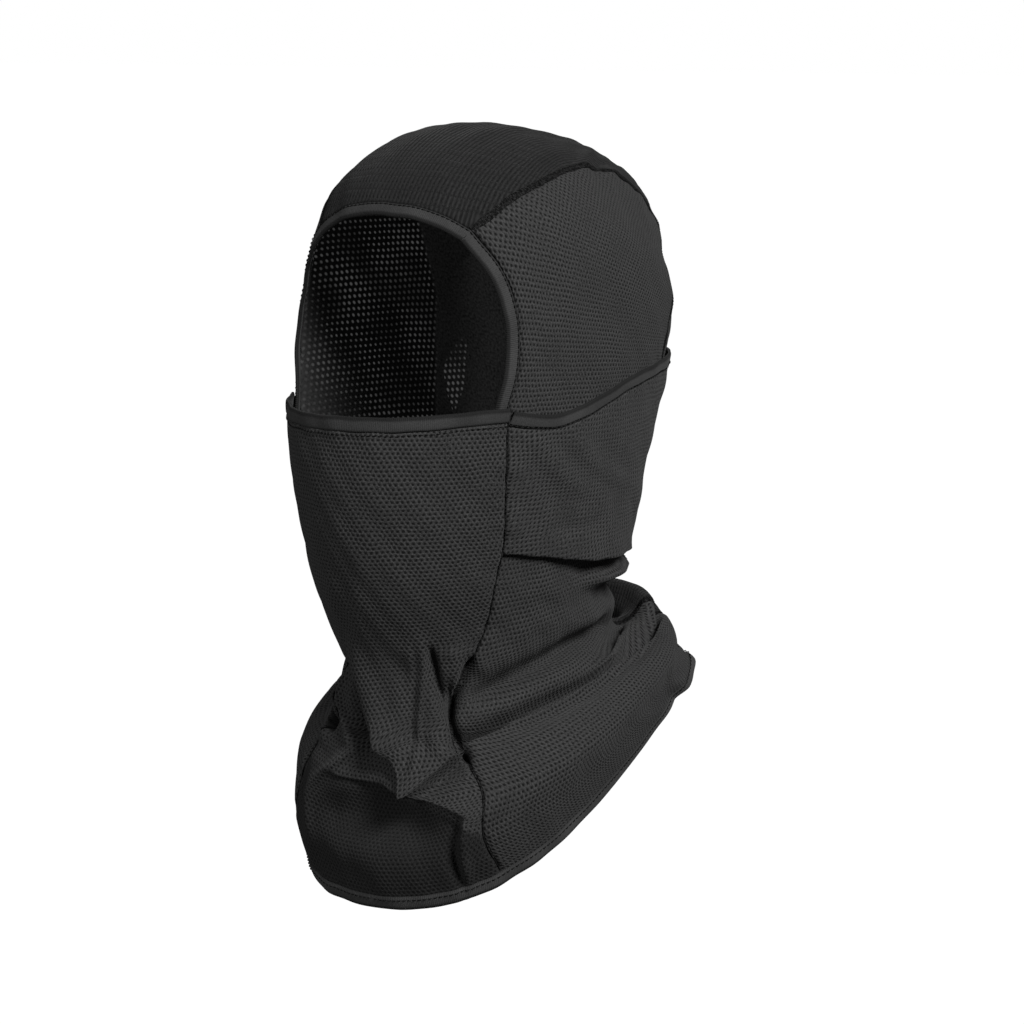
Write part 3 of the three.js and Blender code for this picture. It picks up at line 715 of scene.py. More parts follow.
def rounded_profile(low_side, high_side, thick, middle, points, square=BOX):
    """A rounded box between two sides, thick millimetres through about the rise of its middle. The
    larger the two numbers of square, the fuller its corners: 2 is an ellipse."""
    square_side, square_rise = square
    turn = np.linspace(0, 2 * np.pi, points, endpoint=False)
    side = mix(low_side, high_side, (1 + signed_power(np.cos(turn), 2 / square_side)) / 2)
    return side, middle + thick / 2 * signed_power(np.sin(turn), 2 / square_rise)


def tape_profile(width, thick, gap):
    """The section of a bound edge, which grips the edge of the cloth inside it."""
    return rounded_profile(gap, width + TAPE_GRIP, thick, -WALL / 2, TAPE_POINTS)


# Threads, and the stitches that they make.
THREAD_THICKNESS = 0.5
THREAD_STEP = 0.35
STITCH_LENGTH = 2.6
STITCH_DIP = 0.3
ZIGZAG_LENGTH = 1.5
ZIGZAG_WIDTH = 1.7


def thread_profile(thickness=THREAD_THICKNESS):
    """The round section of a thread."""
    return rounded_profile(-thickness / 2, thickness / 2, thickness, 0.0, THREAD_POINTS, ROUND)


def resampled(line, skin):
    """The line at even short steps, with the distance run to each."""
    down, angle = line
    run = distance_along(skin(down, angle, 0.0)[:, None], 0)[:, 0]
    even = np.linspace(0.0, run[-1], int(run[-1] / THREAD_STEP))
    return np.interp(even, run, down), np.interp(even, run, angle), even


def stitches(name, line, skin, lift, material):
    """A row of running stitches: a thread that rises and dips once in each stitch length."""
    down, angle, run = resampled(line, skin)
    wave = STITCH_DIP * np.cos(2 * np.pi * run / STITCH_LENGTH)
    return carried(name, (down, angle), thread_profile(), skin, lift + wave, material)


def zigzag(name, line, skin, lift, material):
    """A thread that crosses a seam from side to side."""
    down, angle, run = resampled(line, skin)
    sway = ZIGZAG_WIDTH * np.sin(2 * np.pi * run / ZIGZAG_LENGTH)
    crossed = beside_line((down, angle), sway)
    return carried(name, crossed, thread_profile(), skin, lift, material)


# Materials.


class Nodes:
    """Short calls for the maths of a node tree."""

    def __init__(self, tree):
        self.tree = tree

    def new(self, kind, **settings):
        """A node with its settings."""
        node = self.tree.nodes.new(kind)
        for key, value in settings.items():
            setattr(node, key, value)
        return node

    def put(self, target, value):
        """Links a socket to the target, or sets a plain value on it."""
        if isinstance(value, bpy.types.NodeSocket):
            self.tree.links.new(value, target)
        else:
            target.default_value = value

    def maths(self, operation, a, b=None, c=None):
        node = self.new("ShaderNodeMath", operation=operation)
        for target, value in zip(node.inputs, (a, b, c)):
            if value is not None:
                self.put(target, value)
        return node.outputs[0]

    def vector(self, operation, a, b=None, scale=None):
        node = self.new("ShaderNodeVectorMath", operation=operation)
        self.put(node.inputs[0], a)
        if b is not None:
            self.put(node.inputs[1], b)
        if scale is not None:
            self.put(node.inputs["Scale"], scale)
        return node.outputs[0]

    def smooth(self, value, low, high, to_low=0.0, to_high=1.0):
        """An S-shaped step from to_low where the value is low to to_high where it is high."""
        node = self.new("ShaderNodeMapRange", interpolation_type="SMOOTHSTEP")
        entries = {"Value": value, "From Min": low, "From Max": high, "To Min": to_low, "To Max": to_high}
        for key, entry in entries.items():
            self.put(node.inputs[key], entry)
        return node.outputs[0]

    def colours(self, share, a, b):
        """The colour a where share is 0 and b where it is 1."""
        node = self.new("ShaderNodeMix", data_type="RGBA")
        self.put(node.inputs[0], share)
        self.put(node.inputs[6], a)
        self.put(node.inputs[7], b)
        return node.outputs[2]

    def grey(self, value):
        node = self.new("ShaderNodeCombineColor")
        for target in node.inputs:
            self.put(target, value)
        return node.outputs[0]

    def noise(self, vector, scale, detail=2.0, output="Fac"):
        node = self.new("ShaderNodeTexNoise")
        self.put(node.inputs["Vector"], vector)
        self.put(node.inputs["Scale"], scale)
        node.inputs["Detail"].default_value = detail
        return node.outputs[output]

    def split(self, vector):
        node = self.new("ShaderNodeSeparateXYZ")
        self.put(node.inputs[0], vector)
        return node.outputs

    def relief(self, height, distance):
        """A normal that rises with the height by a distance in millimetres."""
        node = self.new("ShaderNodeBump")
        node.inputs["Strength"].default_value = 1.0
        node.inputs["Distance"].default_value = distance * MM
        self.put(node.inputs["Height"], height)
        return node.outputs[0]


# Scales of the noises on the cloth, and how far the lattice of eyelets wavers.
WAVER_SCALE = 70.0
WAVER = 1.0 * MM
CLOUD_SCALE = 45.0
FUZZ_SCALE = 1100.0
TWIST_SCALE = 700.0
DAYLIGHT_SCALE = 60.0

# How noises become sizes and shades: the noise from and to, and what the two become.
EYELET_CLOUDS = (0.35, 0.65, 0.85, 1.15)
KNIT_CLOUDS = (0.3, 0.7, 0.88, 1.1)
TAPE_CLOUDS = (0.3, 0.7, 0.8, 1.15)
# The thread's twist becomes painted highlight on its raised strands and painted shade between them.
TWIST_PAINTED_SHADES = (0.4, 0.65, 0.4, 4.0)
DAYLIGHT_CLOUDS = (0.35, 0.65, 0.35, 1.15)

# Edges of an eyelet and of the mound round it, in its radii, and how strongly fuzz shows, in the relief and
# as painted highlight and shade in the colour.
EYELET_EDGE = (0.5, 1.35)
MOUND_EDGE = (0.4, 2.0)
FUZZ_RELIEF = 0.8
FUZZ_SHADE = 2.6
LEAST_SHADE = 0.1


def new_group(name, entries, exits):
    """A shader node group with named inputs and outputs: its tree, its inside and its two ends. An
    input without a value is a vector."""
    tree = bpy.data.node_groups.new(name, "ShaderNodeTree")
    for key, value in entries.items():
        kind = "NodeSocketVector" if value is None else "NodeSocketFloat"
        entry = tree.interface.new_socket(key, in_out="INPUT", socket_type=kind)
        if value is not None:
            entry.default_value = value
    for key in exits:
        tree.interface.new_socket(key, in_out="OUTPUT", socket_type="NodeSocketFloat")
    n = Nodes(tree)
    return tree, n, n.new("NodeGroupInput").outputs, n.new("NodeGroupOutput").inputs


def mesh_knit_group():
    """The mesh knit on a map of the cloth in metres: a staggered lattice of round eyelets, a little uneven
    in place and size. Eyelet is 1 inside a hole, Mound is high on the yarn between the holes and along the
    columns of loops, and Shade is the yarn's lightness about 1: random clouds of tone, with the fuzz and the
    ribs lighter where they stand high and darker where they lie low, as painted highlight and painted shade."""
    entries = {
        "Cloth": None,
        "Pitch": 0.0025,
        "Row": 0.002,
        "Eyelet Radius": 0.0005,
        "Rib Pitch": 0.00125,
        "Rib": 0.1,
    }
    tree, n, source, sink = new_group("mesh_knit", entries, ("Eyelet", "Mound", "Shade"))
    cloth = source["Cloth"]
    stir = n.vector("SUBTRACT", n.noise(cloth, WAVER_SCALE, 1.0, "Color"), (0.5, 0.5, 0.5))
    place = n.split(n.vector("ADD", cloth, n.vector("SCALE", stir, scale=WAVER)))
    across = n.maths("DIVIDE", place[0], source["Pitch"])
    v = n.maths("DIVIDE", place[1], source["Row"])
    odd = n.maths("MODULO", n.maths("ABSOLUTE", n.maths("FLOOR", v)), 2.0)
    u = n.maths("MULTIPLY_ADD", odd, 0.5, across)
    du = n.maths("MULTIPLY", n.maths("SUBTRACT", n.maths("FRACT", u), 0.5), source["Pitch"])
    dv = n.maths("MULTIPLY", n.maths("SUBTRACT", n.maths("FRACT", v), 0.5), source["Row"])
    away = n.maths("SQRT", n.maths("MULTIPLY_ADD", du, du, n.maths("MULTIPLY", dv, dv)))
    cloudy = n.noise(cloth, CLOUD_SCALE, 3.0)
    fuzz = n.noise(cloth, FUZZ_SCALE, 2.0)
    size = n.maths("MULTIPLY", source["Eyelet Radius"], n.smooth(cloudy, *EYELET_CLOUDS))
    ratio = n.maths("DIVIDE", away, size)
    turn = n.maths("MULTIPLY", n.maths("DIVIDE", place[0], source["Rib Pitch"]), 2 * np.pi)
    rib = n.maths("MULTIPLY", n.maths("COSINE", turn), source["Rib"])
    n.put(sink["Eyelet"], n.smooth(ratio, *EYELET_EDGE, 1.0, 0.0))
    mound = n.maths("ADD", rib, n.smooth(ratio, *MOUND_EDGE))
    n.put(sink["Mound"], n.maths("MULTIPLY_ADD", fuzz, FUZZ_RELIEF, mound))
    clouds = n.smooth(cloudy, *KNIT_CLOUDS)
    shade = n.maths("MULTIPLY_ADD", n.maths("SUBTRACT", fuzz, 0.5), FUZZ_SHADE, clouds)
    n.put(sink["Shade"], n.maths("MAXIMUM", n.maths("ADD", rib, shade), LEAST_SHADE))
    return tree


# A bound edge's ribs, and how painted shade darkens its rounded sides, in shares of its width from its
# middle.
TAPE_RIB_PITCH = 0.9
TAPE_RIB_SHADE = 0.06
TAPE_RIB_RELIEF = 0.4
TAPE_FUZZ = 0.8
TAPE_PAINTED_SHADE_FROM = 0.25
TAPE_PAINTED_SHADE_TO = 0.48
TAPE_PAINTED_SIDE_SHADE = 0.25


def bound_edge_group():
    """The weave of a bound edge on its own map, the distance run along it and the side across it: fine ribs
    and fuzz, lighter where they stand high as painted highlight, and painted shade on its rounded sides
    about a lighter middle. Shade is its lightness about 1, and Height is the ribs with fuzz on them."""
    entries = {"Cloth": None, "Width": BINDING_WIDTH * MM}
    tree, n, source, sink = new_group("bound_edge", entries, ("Shade", "Height"))
    cloth, width = source["Cloth"], source["Width"]
    place = n.split(cloth)
    rib = n.maths("COSINE", n.maths("DIVIDE", place[0], TAPE_RIB_PITCH * MM / (2 * np.pi)))
    middle = n.maths("MULTIPLY", width, 0.5)
    off = n.maths("ABSOLUTE", n.maths("SUBTRACT", place[1], middle))
    low = n.maths("MULTIPLY", width, TAPE_PAINTED_SHADE_FROM)
    high = n.maths("MULTIPLY", width, TAPE_PAINTED_SHADE_TO)
    painted_side_shade = n.smooth(off, low, high, 1.0, TAPE_PAINTED_SIDE_SHADE)
    fuzz = n.noise(cloth, FUZZ_SCALE, 2.0)
    cloudy = n.smooth(n.noise(cloth, CLOUD_SCALE, 3.0), *TAPE_CLOUDS)
    shade = n.maths("MULTIPLY_ADD", n.maths("SUBTRACT", fuzz, 0.5), TAPE_FUZZ, cloudy)
    shade = n.maths("MULTIPLY_ADD", rib, TAPE_RIB_SHADE, shade)
    n.put(sink["Shade"], n.maths("MULTIPLY", shade, painted_side_shade))
    n.put(sink["Height"], n.maths("MULTIPLY_ADD", rib, TAPE_RIB_RELIEF, fuzz))
    return tree


def spun_thread_group():
    """Spun thread on its own map: Twist is high where the strands stand up, and Shade is lighter there and
    darker between, as painted highlight on the raised strands and painted shade between them."""
    tree, n, source, sink = new_group("spun_thread", {"Cloth": None}, ("Shade", "Twist"))
    twist = n.noise(source["Cloth"], TWIST_SCALE, 3.0)
    n.put(sink["Twist"], twist)
    n.put(sink["Shade"], n.smooth(twist, *TWIST_PAINTED_SHADES))
    return tree


def material(name, roughness, specular=0.12, sheen=0.0):
    """A new material, its nodes and its shader, with the constants that each finish has."""
    made = bpy.data.materials.new(name)
    made.use_nodes = True
    shader = made.node_tree.nodes["Principled BSDF"]
    shader.inputs["Roughness"].default_value = roughness
    shader.inputs["Specular IOR Level"].default_value = specular
    shader.inputs["Sheen Weight"].default_value = sheen
    return made, Nodes(made.node_tree), shader


def cloth_map(n):
    return n.new("ShaderNodeUVMap", uv_map="cloth").outputs[0]


# The plane on which the inside's light is laid out, and how the knit of the far wall is stretched.
PLANE_TURN = np.radians(37.0)
INSIDE_SQUASH = 0.7
INSIDE_SLANT = 0.3


def plane_place(n):
    """Where a point stands on a plane turned a little from the face, and how high."""
    x, y, z = n.split(n.new("ShaderNodeTexCoord").outputs["Object"])
    across = n.maths("MULTIPLY", x, float(np.cos(PLANE_TURN)))
    return n.maths("MULTIPLY_ADD", y, float(np.sin(PLANE_TURN)), across), z


def inside_map(n):
    """The far wall's knit is stretched over the head: its columns stand evenly across that plane,
    its rows lie level, and its eyelets are drawn out into slanting ovals."""
    across, up = plane_place(n)
    node = n.new("ShaderNodeCombineXYZ")
    n.put(node.inputs[0], n.maths("MULTIPLY_ADD", up, INSIDE_SLANT, across))
    n.put(node.inputs[1], n.maths("MULTIPLY", up, INSIDE_SQUASH))
    return node.outputs[0]


# Where daylight comes through the eyelets of the far wall and of an oval patch on the lining, and
# where stray light grows over the lining: places on the plane of plane_place, in metres. The leans,
# the patch's edge and the strengths are ratios.
FAR_EDGE = -0.0235
FAR_EDGE_LEAN = 0.22
FAR_EDGE_HEIGHT = -0.085
FAR_EDGE_BLUR = 1.5 * MM
PATCH_CENTRE = (-0.0155, -0.129)
PATCH_HALF = (0.0065, 0.021)
PATCH_LEAN = -0.25
PATCH_EDGE = (0.8, 1.1)
FAR_STRAY = 0.28
STRAY_FROM = -0.018
STRAY_TO = 0.004
STRAY_MOST = 2.2


def far_window(n):
    """1 where the far wall has daylight behind it."""
    across, up = plane_place(n)
    above = n.maths("MAXIMUM", n.maths("SUBTRACT", up, FAR_EDGE_HEIGHT), 0.0)
    edge = n.maths("MULTIPLY_ADD", above, FAR_EDGE_LEAN, across)
    return n.smooth(edge, FAR_EDGE - FAR_EDGE_BLUR, FAR_EDGE + FAR_EDGE_BLUR, 1.0, 0.0)


def patch_window(n):
    """1 inside a slanting oval low on the lining."""
    across, up = plane_place(n)
    x = n.maths("SUBTRACT", across, PATCH_CENTRE[0])
    y = n.maths("SUBTRACT", up, PATCH_CENTRE[1])
    x = n.maths("DIVIDE", n.maths("MULTIPLY_ADD", y, PATCH_LEAN, x), PATCH_HALF[0])
    y = n.maths("DIVIDE", y, PATCH_HALF[1])
    square = n.maths("MULTIPLY_ADD", x, x, n.maths("MULTIPLY", y, y))
    return n.smooth(square, *PATCH_EDGE, 1.0, 0.0)


def far_stray(n):
    """Least where daylight shows through, as the yarn there stands against it."""
    return n.smooth(far_window(n), 0.0, 1.0, 1.0, FAR_STRAY)


def lining_stray(n):
    """More towards the near side."""
    return n.smooth(plane_place(n)[0], STRAY_FROM, STRAY_TO, 1.0, STRAY_MOST)


# The mask's knit is darker below a slanting line on its map, in metres: painted shade on the bib under the
# chin.
BIB_SHADE_FROM = -0.179
BIB_SHADE_TO = -0.174
BIB_SHADE_LEAN = 0.515
BIB_PAINTED_SHADE = 0.42


def mask_painted_shade(n):
    """1 above the slanting line, and darker below it as painted shade on the bib."""
    across, up, _ = n.split(cloth_map(n))
    edge = n.maths("MULTIPLY_ADD", n.maths("MAXIMUM", across, 0.0), BIB_SHADE_LEAN, up)
    return n.smooth(edge, BIB_SHADE_FROM, BIB_SHADE_TO, BIB_PAINTED_SHADE, 1.0)


def everywhere(n):
    return 1.0


def nowhere(n):
    return 0.0


# Gauge of each knit, in millimetres: pitch of the columns, height of a row, radius of an eyelet,
# pitch of the ribs and relief. The last column is the strength of the ribs.
GAUGE_COLUMNS = ("pitch", "row", "eyelet", "rib_pitch", "bump", "rib")
GAUGE_ROWS = {
    "knit_side": (2.2, 2.05, 0.52, 1.1, 0.35, 0.08),
    "knit_mask": (2.45, 2.0, 0.55, 1.22, 0.35, 0.08),
    "knit_strap": (2.3, 2.0, 0.5, 1.15, 0.35, 0.08),
    "knit_crown": (2.3, 2.6, 0.3, 2.3, 0.3, 0.5),
    "inside_far": (2.32, 2.13, 0.52, 1.16, 0.1, 0.0),
    "inside_near": (2.45, 2.0, 0.5, 1.22, 0.2, 0.08),
    "lining": (2.32, 2.13, 0.55, 1.16, 0.1, 0.0),
}
# Finish of each knit: its map, how painted shade goes over the cloth, and the grey of its yarn and of its
# eyelets. The eyelets are not cut through, and their dark grey is painted shade of what lies behind them. On
# the inside also where daylight shows through the eyelets, how stray light spreads over the yarn, and the
# glow of the stray light and of the daylight, both painted as glow.
FINISH_COLUMNS = ("place", "tone", "yarn", "hole", "window", "stray", "glow", "daylight")
FINISH_ROWS = {
    "knit_side": (cloth_map, everywhere, 0.0225, 0.0015, nowhere, everywhere, 0.0, 0.0),
    "knit_mask": (cloth_map, mask_painted_shade, 0.0225, 0.0015, nowhere, everywhere, 0.0, 0.0),
    "knit_strap": (cloth_map, everywhere, 0.0245, 0.0015, nowhere, everywhere, 0.0, 0.0),
    # The crown's yarn is set far darker than the sides' as painted shade on the top of the head.
    "knit_crown": (cloth_map, everywhere, 0.0076, 0.004, nowhere, everywhere, 0.0, 0.0),
    # The inside rows darken the one yarn as painted shade inside the hood, lighten it on the near wall as
    # painted light, and add painted glow.
    "inside_far": (inside_map, everywhere, 0.01, 0.006, far_window, far_stray, 0.0042, 0.046),
    "inside_near": (cloth_map, everywhere, 0.017, 0.01, nowhere, everywhere, 0.0085, 0.0),
    "lining": (inside_map, everywhere, 0.01, 0.008, patch_window, lining_stray, 0.0042, 0.05),
}
KNIT_ROUGHNESS = 0.85
FABRIC_SHEEN = 0.03


def knit_material(name, knit):
    """Mesh knit: yarn round darker eyelets, whose dark grey is painted shade, as they are not cut through.
    On the inside, painted daylight shows through the eyelets where nothing stands behind them, and a little
    painted stray light lies on the yarn."""
    row = dict(zip(GAUGE_COLUMNS + FINISH_COLUMNS, GAUGE_ROWS[name] + FINISH_ROWS[name]))
    made, n, shader = material(name, KNIT_ROUGHNESS, sheen=FABRIC_SHEEN)
    group = n.new("ShaderNodeGroup", node_tree=knit)
    n.put(group.inputs["Cloth"], row["place"](n))
    group.inputs["Pitch"].default_value = row["pitch"] * MM
    group.inputs["Row"].default_value = row["row"] * MM
    group.inputs["Eyelet Radius"].default_value = row["eyelet"] * MM
    group.inputs["Rib Pitch"].default_value = row["rib_pitch"] * MM
    group.inputs["Rib"].default_value = row["rib"]
    eyelet, shade = group.outputs["Eyelet"], group.outputs["Shade"]
    yarn = n.maths("MULTIPLY", n.maths("MULTIPLY", shade, row["yarn"]), row["tone"](n))
    n.put(shader.inputs["Base Color"], n.colours(eyelet, n.grey(yarn), (*[row["hole"]] * 3, 1.0)))
    if row["glow"]:
        dim = n.maths("MULTIPLY", n.maths("MULTIPLY", shade, row["glow"]), row["stray"](n))
        through = n.maths("MULTIPLY", eyelet, row["window"](n))
        cloudy = n.smooth(n.noise(row["place"](n), DAYLIGHT_SCALE, 2.0), *DAYLIGHT_CLOUDS)
        daylight = n.maths("MULTIPLY", cloudy, row["daylight"])
        n.put(shader.inputs["Emission Color"], n.grey(n.maths("MULTIPLY_ADD", through, daylight, dim)))
        shader.inputs["Emission Strength"].default_value = 1.0
        made.cycles.emission_sampling = "NONE"
    n.put(shader.inputs["Normal"], n.relief(group.outputs["Mound"], row["bump"]))
    return made


TAPE_ROUGHNESS = 0.75
TAPE_RELIEF = 0.14
THREAD_ROUGHNESS = 0.7
THREAD_SPECULAR = 0.03
THREAD_RELIEF = 0.3


def tape_material(name, weave, grey, width):
    """Binding tape of one grey, with painted shade darkening its sides."""
    made, n, shader = material(name, TAPE_ROUGHNESS, sheen=FABRIC_SHEEN)
    group = n.new("ShaderNodeGroup", node_tree=weave)
    n.put(group.inputs["Cloth"], cloth_map(n))
    group.inputs["Width"].default_value = width * MM
    n.put(shader.inputs["Base Color"], n.grey(n.maths("MULTIPLY", group.outputs["Shade"], grey)))
    n.put(shader.inputs["Normal"], n.relief(group.outputs["Height"], TAPE_RELIEF))
    return made


def thread_material(name, spun, grey):
    """Spun thread, dull and rough."""
    made, n, shader = material(name, THREAD_ROUGHNESS, THREAD_SPECULAR)
    group = n.new("ShaderNodeGroup", node_tree=spun)
    n.put(group.inputs["Cloth"], cloth_map(n))
    n.put(shader.inputs["Base Color"], n.grey(n.maths("MULTIPLY", group.outputs["Shade"], grey)))
    n.put(shader.inputs["Normal"], n.relief(group.outputs["Twist"], THREAD_RELIEF))
    return made


knit = mesh_knit_group()
side, mask, band, crown, inside_far, inside_near, lining = (knit_material(name, knit) for name in GAUGE_ROWS)
weave = bound_edge_group()
tape = tape_material("binding_tape", weave, 0.024, BINDING_WIDTH)
mask_tape_finish = tape_material("mask_binding_tape", weave, 0.0215, BINDING_WIDTH)
hem_finish = tape_material("hem_binding_tape", weave, 0.031, HEM_WIDTH)
spun = spun_thread_group()
seam_finish = thread_material("seam_thread", spun, 0.004)
stitch_finish = thread_material("stitch_thread", spun, 0.003)

# Pieces.


def centre_lift(down, across, along):
    """Dips at the two seams beside a panel."""
    width = across[:, -1:]
    return seam_dip(across, along) + seam_dip(width - across, along)


def side_lift(down, across, along):
    """Dips at the seams beside the panel and above it."""
    return centre_lift(down, across, along) + seam_dip(along, across)


def face_lift(down, across, along):
    """The mask lies off the hood, with dips at its two seams."""
    return mask_lift(down) + centre_lift(down, across, along)


def strap_lift(down, across, along):
    """The strap lies off the hood all over, with dips at its two seams."""
    return COVER_LIFT + centre_lift(down, across, along)


side_grid = side_places()
strap_grid = strap_places(shares(STRAP_ROWS), STRAP_COLUMNS)
hood_left = panel("hood_side_left_knit", side_grid, side_lift, lifted, (side, inside_near))
hood_right = panel("hood_side_right_knit", side_grid, side_lift, lifted, (side, inside_far), mirrored=True)
centre = panel("centre_panel_knit", centre_places(), centre_lift, lifted, (crown, lining))
face = panel("face_panel_knit", face_places(), face_lift, lifted, (mask, lining))
strap = panel("nape_strap_knit", strap_grid, strap_lift, strap_skin, (band, lining))


def opening_line():
    """Up the left edge of the opening, over the arch and down the right edge."""
    down = rows_from(FRONT_TOP, OPENING_STEPS)
    down = down[down < BINDING_TAIL * SKIN_LENGTH][::-1]
    reach = FRONT_EDGE[1][0]
    arch = reach * (1 - 2 * shares(ARCH_STEPS)[1:-1])
    angle = front_angle(down)
    line_down = np.concatenate([down, opening_top(arch), down[::-1]])
    return line_down, np.concatenate([angle, arch, -angle[::-1]])


def back_line():
    """The centre panel's left seam, over the crown and down the back as far as the hem's tape."""
    crown_down, crown_angle = crown_line(CROWN_SEAM_STEPS)
    down = np.linspace(BACK_TOP, CLOTH_END, SEAM_STEPS)[1:]
    return np.concatenate([crown_down, down]), np.concatenate([crown_angle, back_angle(down)])


def front_line():
    """The left seam of the face panel, from the mask's corner down to the hem's tape."""
    down = np.linspace(mask_top(MASK_CORNER) + BINDING_WIDTH, CLOTH_END, SEAM_STEPS)
    return down, front_angle(down)


def mirror(line):
    """The same line on the other side of the face."""
    down, angle = line
    return down, -angle


trim = tape_profile(BINDING_WIDTH, BINDING_THICKNESS, TAPE_GAP)
turned = MASK_CORNER * (2 * shares(MASK_EDGE_STEPS) - 1)
mask_line = (mask_top(turned) + BINDING_WIDTH, turned)
strap_line = strap_places(0.0, STRAP_EDGE_STEPS)
hem_turns = np.linspace(360.0, 0.0, HEM_STEPS, endpoint=False)
hem_line = (np.full(len(hem_turns), CLOTH_END), hem_turns)
opening = carried("opening_tape", opening_line(), trim, lifted, 0.0, tape)
mask_edge = carried("mask_tape", mask_line, trim, lifted, COVER_LIFT, mask_tape_finish)
strap_edge_tape = carried("strap_tape", strap_line, trim, strap_skin, COVER_LIFT, tape)
hem_profile = tape_profile(HEM_WIDTH, HEM_THICKNESS, HEM_GAP)
hem = carried("hem_tape", hem_line, hem_profile, lifted, 0.0, hem_finish, closed=True)

# Flatlock seams over the crown and down the back, and the sunk threads of the front seams.
FLATLOCK_HALF = 2.0
FLATLOCK_THICKNESS = 0.9
FLATLOCK_LIFT = -0.4
FLATLOCK_THREAD_LIFT = 0.0
FRONT_THREAD_THICKNESS = 0.9
FRONT_THREAD_LIFT = -0.75
flatlock = rounded_profile(-FLATLOCK_HALF, FLATLOCK_HALF, FLATLOCK_THICKNESS, 0.0, FLATLOCK_POINTS)
front_thread = thread_profile(FRONT_THREAD_THICKNESS)
crown_seams = {
    word: (
        carried("crown_seam_" + word, line, flatlock, lifted, FLATLOCK_LIFT, seam_finish),
        zigzag("crown_seam_thread_" + word, line, lifted, FLATLOCK_THREAD_LIFT, seam_finish),
    )
    for word, line in (("left", back_line()), ("right", mirror(back_line())))
}
front_threads = []
for word, line in (("left", front_line()), ("right", mirror(front_line()))):
    lift = mask_lift(line[0]) + FRONT_THREAD_LIFT
    front_threads.append(carried("front_seam_thread_" + word, line, front_thread, lifted, lift, seam_finish))

# Rows of stitches on the bindings, and below the mask's.
STITCH_INSET = 1.3
STITCH_LIFT = 0.35
HEM_STITCH_LIFT = 0.65
opening_row = beside_line(opening_line(), STITCH_INSET)
mask_row = beside_line(mask_line, -STITCH_INSET)
strap_row = beside_line(strap_line, STITCH_INSET)
hem_row = (np.full(len(hem_turns), CLOTH_END + STITCH_INSET), hem_turns)
opening_stitches = stitches("opening_stitches", opening_row, lifted, STITCH_LIFT, stitch_finish)
mask_stitches = stitches("mask_stitches", mask_row, lifted, COVER_LIFT, stitch_finish)
strap_stitches = stitches("strap_stitches", strap_row, strap_skin, COVER_LIFT + STITCH_LIFT, stitch_finish)
hem_stitches = stitches("hem_stitches", hem_row, lifted, HEM_STITCH_LIFT, stitch_finish)

PIECES = (
    (hood_left, "hood_side_left", "mesh_knit"),
    (hood_right, "hood_side_right", "mesh_knit"),
    (centre, "centre_panel", "mesh_knit"),
    (face, "face_panel", "mesh_knit"),
    (strap, "nape_strap", "mesh_knit"),
    (opening, "opening_binding", "binding"),
    (mask_edge, "mask_band", "binding"),
    (strap_edge_tape, "strap_band", "binding"),
    (hem, "hem_binding", "binding"),
)
for piece, node, finish in PIECES:
    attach(piece, "root")
    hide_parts(node)
for piece in (*crown_seams["left"], *crown_seams["right"], *front_threads):
    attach(piece, "root")
for piece in (opening_stitches, mask_stitches, strap_stitches, hem_stitches):
    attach(piece, "root")

# Stage, lights and camera.
FLOOR_DROP = 0.62
FLOOR_SIZE = 60.0
FLOOR_GREY = 0.05
BOUNCE_GREY = 0.08


def backdrop_material(name):
    """A white floor: the camera sees it glow evenly, and the object is lit from below only as a
    grey floor lights it."""
    made, n, shader = material(name, 1.0)
    shader.inputs["Base Color"].default_value = (*[FLOOR_GREY] * 3, 1.0)
    shader.inputs["Emission Color"].default_value = (1.0, 1.0, 1.0, 1.0)
    shader.inputs["Emission Strength"].default_value = 1.0
    grey = n.new("ShaderNodeBsdfDiffuse")
    grey.inputs["Color"].default_value = (*[BOUNCE_GREY] * 3, 1.0)
    blend = n.new("ShaderNodeMixShader")
    n.put(blend.inputs[0], n.new("ShaderNodeLightPath").outputs["Is Camera Ray"])
    n.put(blend.inputs[1], grey.outputs[0])
    n.put(blend.inputs[2], shader.outputs[0])
    n.put(made.node_tree.nodes["Material Output"].inputs["Surface"], blend.outputs[0])
    return made


floor_mesh = bpy.data.meshes.new("floor")
reach = FLOOR_SIZE / 2
floor_corners = [(x * reach, y * reach, -FLOOR_DROP) for x, y in ((-1, -1), (1, -1), (1, 1), (-1, 1))]
floor_mesh.from_pydata(floor_corners, [], [(0, 1, 2, 3)])
floor_mesh.materials.append(backdrop_material("floor_white"))
floor = bpy.data.objects.new("floor", floor_mesh)
bpy.context.scene.collection.objects.link(floor)

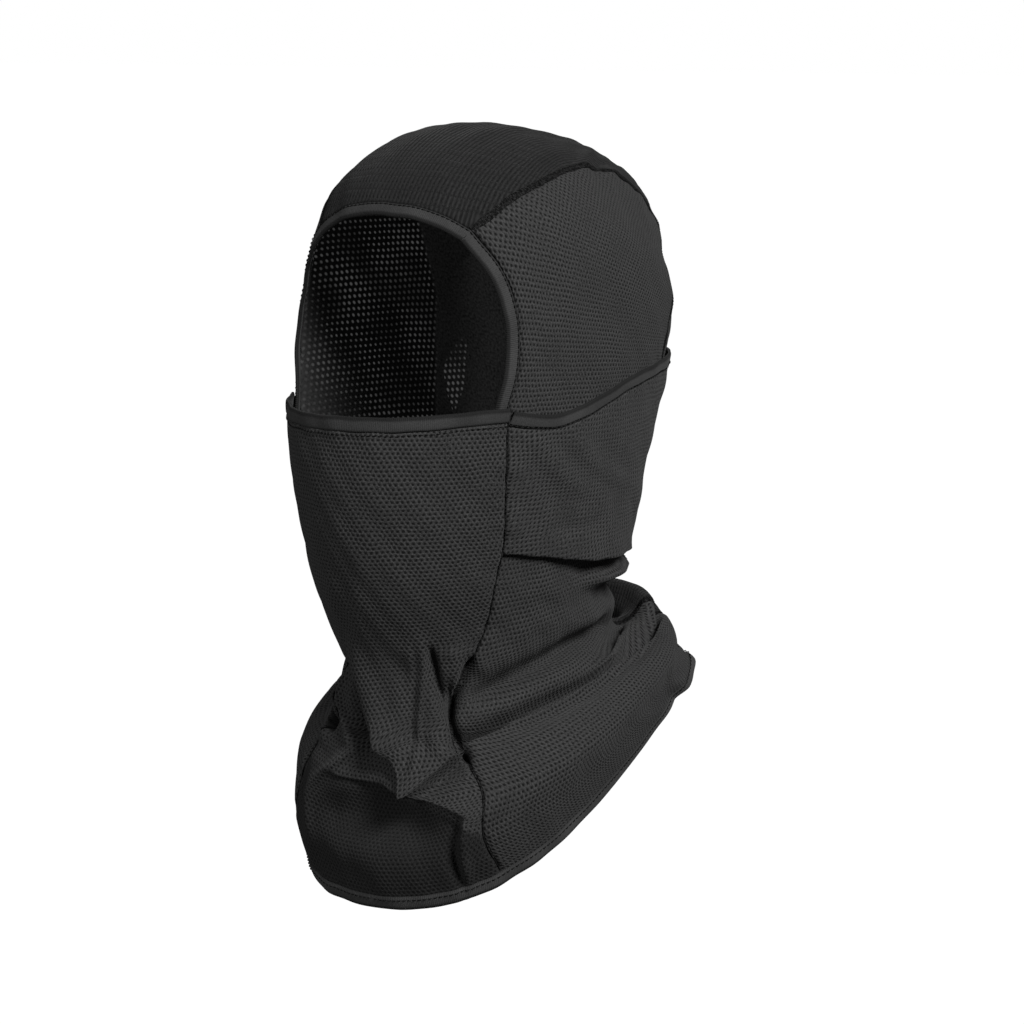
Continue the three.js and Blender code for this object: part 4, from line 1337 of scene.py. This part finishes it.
# The sky lights the object with AMBIENT and is white to the camera.
AMBIENT = 0.15
bpy.context.scene.view_settings.view_transform = "Standard"
world = bpy.data.worlds.new("studio")
bpy.context.scene.world = world
world.use_nodes = True
sky = Nodes(world.node_tree)
seen = sky.new("ShaderNodeLightPath").outputs["Is Camera Ray"]
ambient = world.node_tree.nodes["Background"]
ambient.inputs[0].default_value = (1.0, 1.0, 1.0, 1.0)
sky.put(ambient.inputs[1], sky.maths("MULTIPLY_ADD", seen, 1.0 - AMBIENT, AMBIENT))


def soft_light(name, place, aim, size, power):
    """A square lamp of a size in metres at a place, turned to its aim."""
    lamp = bpy.data.lights.new(name, "AREA")
    lamp.energy, lamp.size = power, size
    obj = bpy.data.objects.new(name, lamp)
    bpy.context.scene.collection.objects.link(obj)
    obj.location = place
    obj.rotation_mode = "QUATERNION"
    obj.rotation_quaternion = (Vector(aim) - Vector(place)).to_track_quat("-Z", "Y")


# The middle of the hood, which both lamps aim at.
MIDDLE = (0.0, 0.0, -0.18)
soft_light("key", (1.9, -0.7, 1.2), MIDDLE, 0.8, 110.0)
soft_light("fill", (-0.9, -2.0, 0.2), MIDDLE, 1.0, 20.0)

# The camera's direction, distance and aim, and the scale of its picture at that distance.
CAMERA_AZIMUTH = np.radians(37.0)
CAMERA_ELEVATION = np.radians(7.0)
CAMERA_DISTANCE = 2.0
CAMERA_AIM_SIDE = 0.014286
CAMERA_AIM_UP = -0.1834
PICTURE_WIDTH = 1024
PIXELS_PER_METRE = 2100.0
SENSOR_WIDTH = 36.0

right = Vector((np.cos(CAMERA_AZIMUTH), np.sin(CAMERA_AZIMUTH), 0.0))
back = Vector(
    (
        np.sin(CAMERA_AZIMUTH) * np.cos(CAMERA_ELEVATION),
        -np.cos(CAMERA_AZIMUTH) * np.cos(CAMERA_ELEVATION),
        np.sin(CAMERA_ELEVATION),
    )
)
aim = Vector((0.0, 0.0, CAMERA_AIM_UP)) + right * CAMERA_AIM_SIDE
lens = bpy.data.cameras.new("camera")
lens.sensor_width = SENSOR_WIDTH
lens.lens = SENSOR_WIDTH * PIXELS_PER_METRE * CAMERA_DISTANCE / PICTURE_WIDTH
camera = bpy.data.objects.new("camera", lens)
bpy.context.scene.collection.objects.link(camera)
camera.location = aim + back * CAMERA_DISTANCE
camera.rotation_mode = "QUATERNION"
camera.rotation_quaternion = (-back).to_track_quat("-Z", "Y")
bpy.context.scene.camera = camera
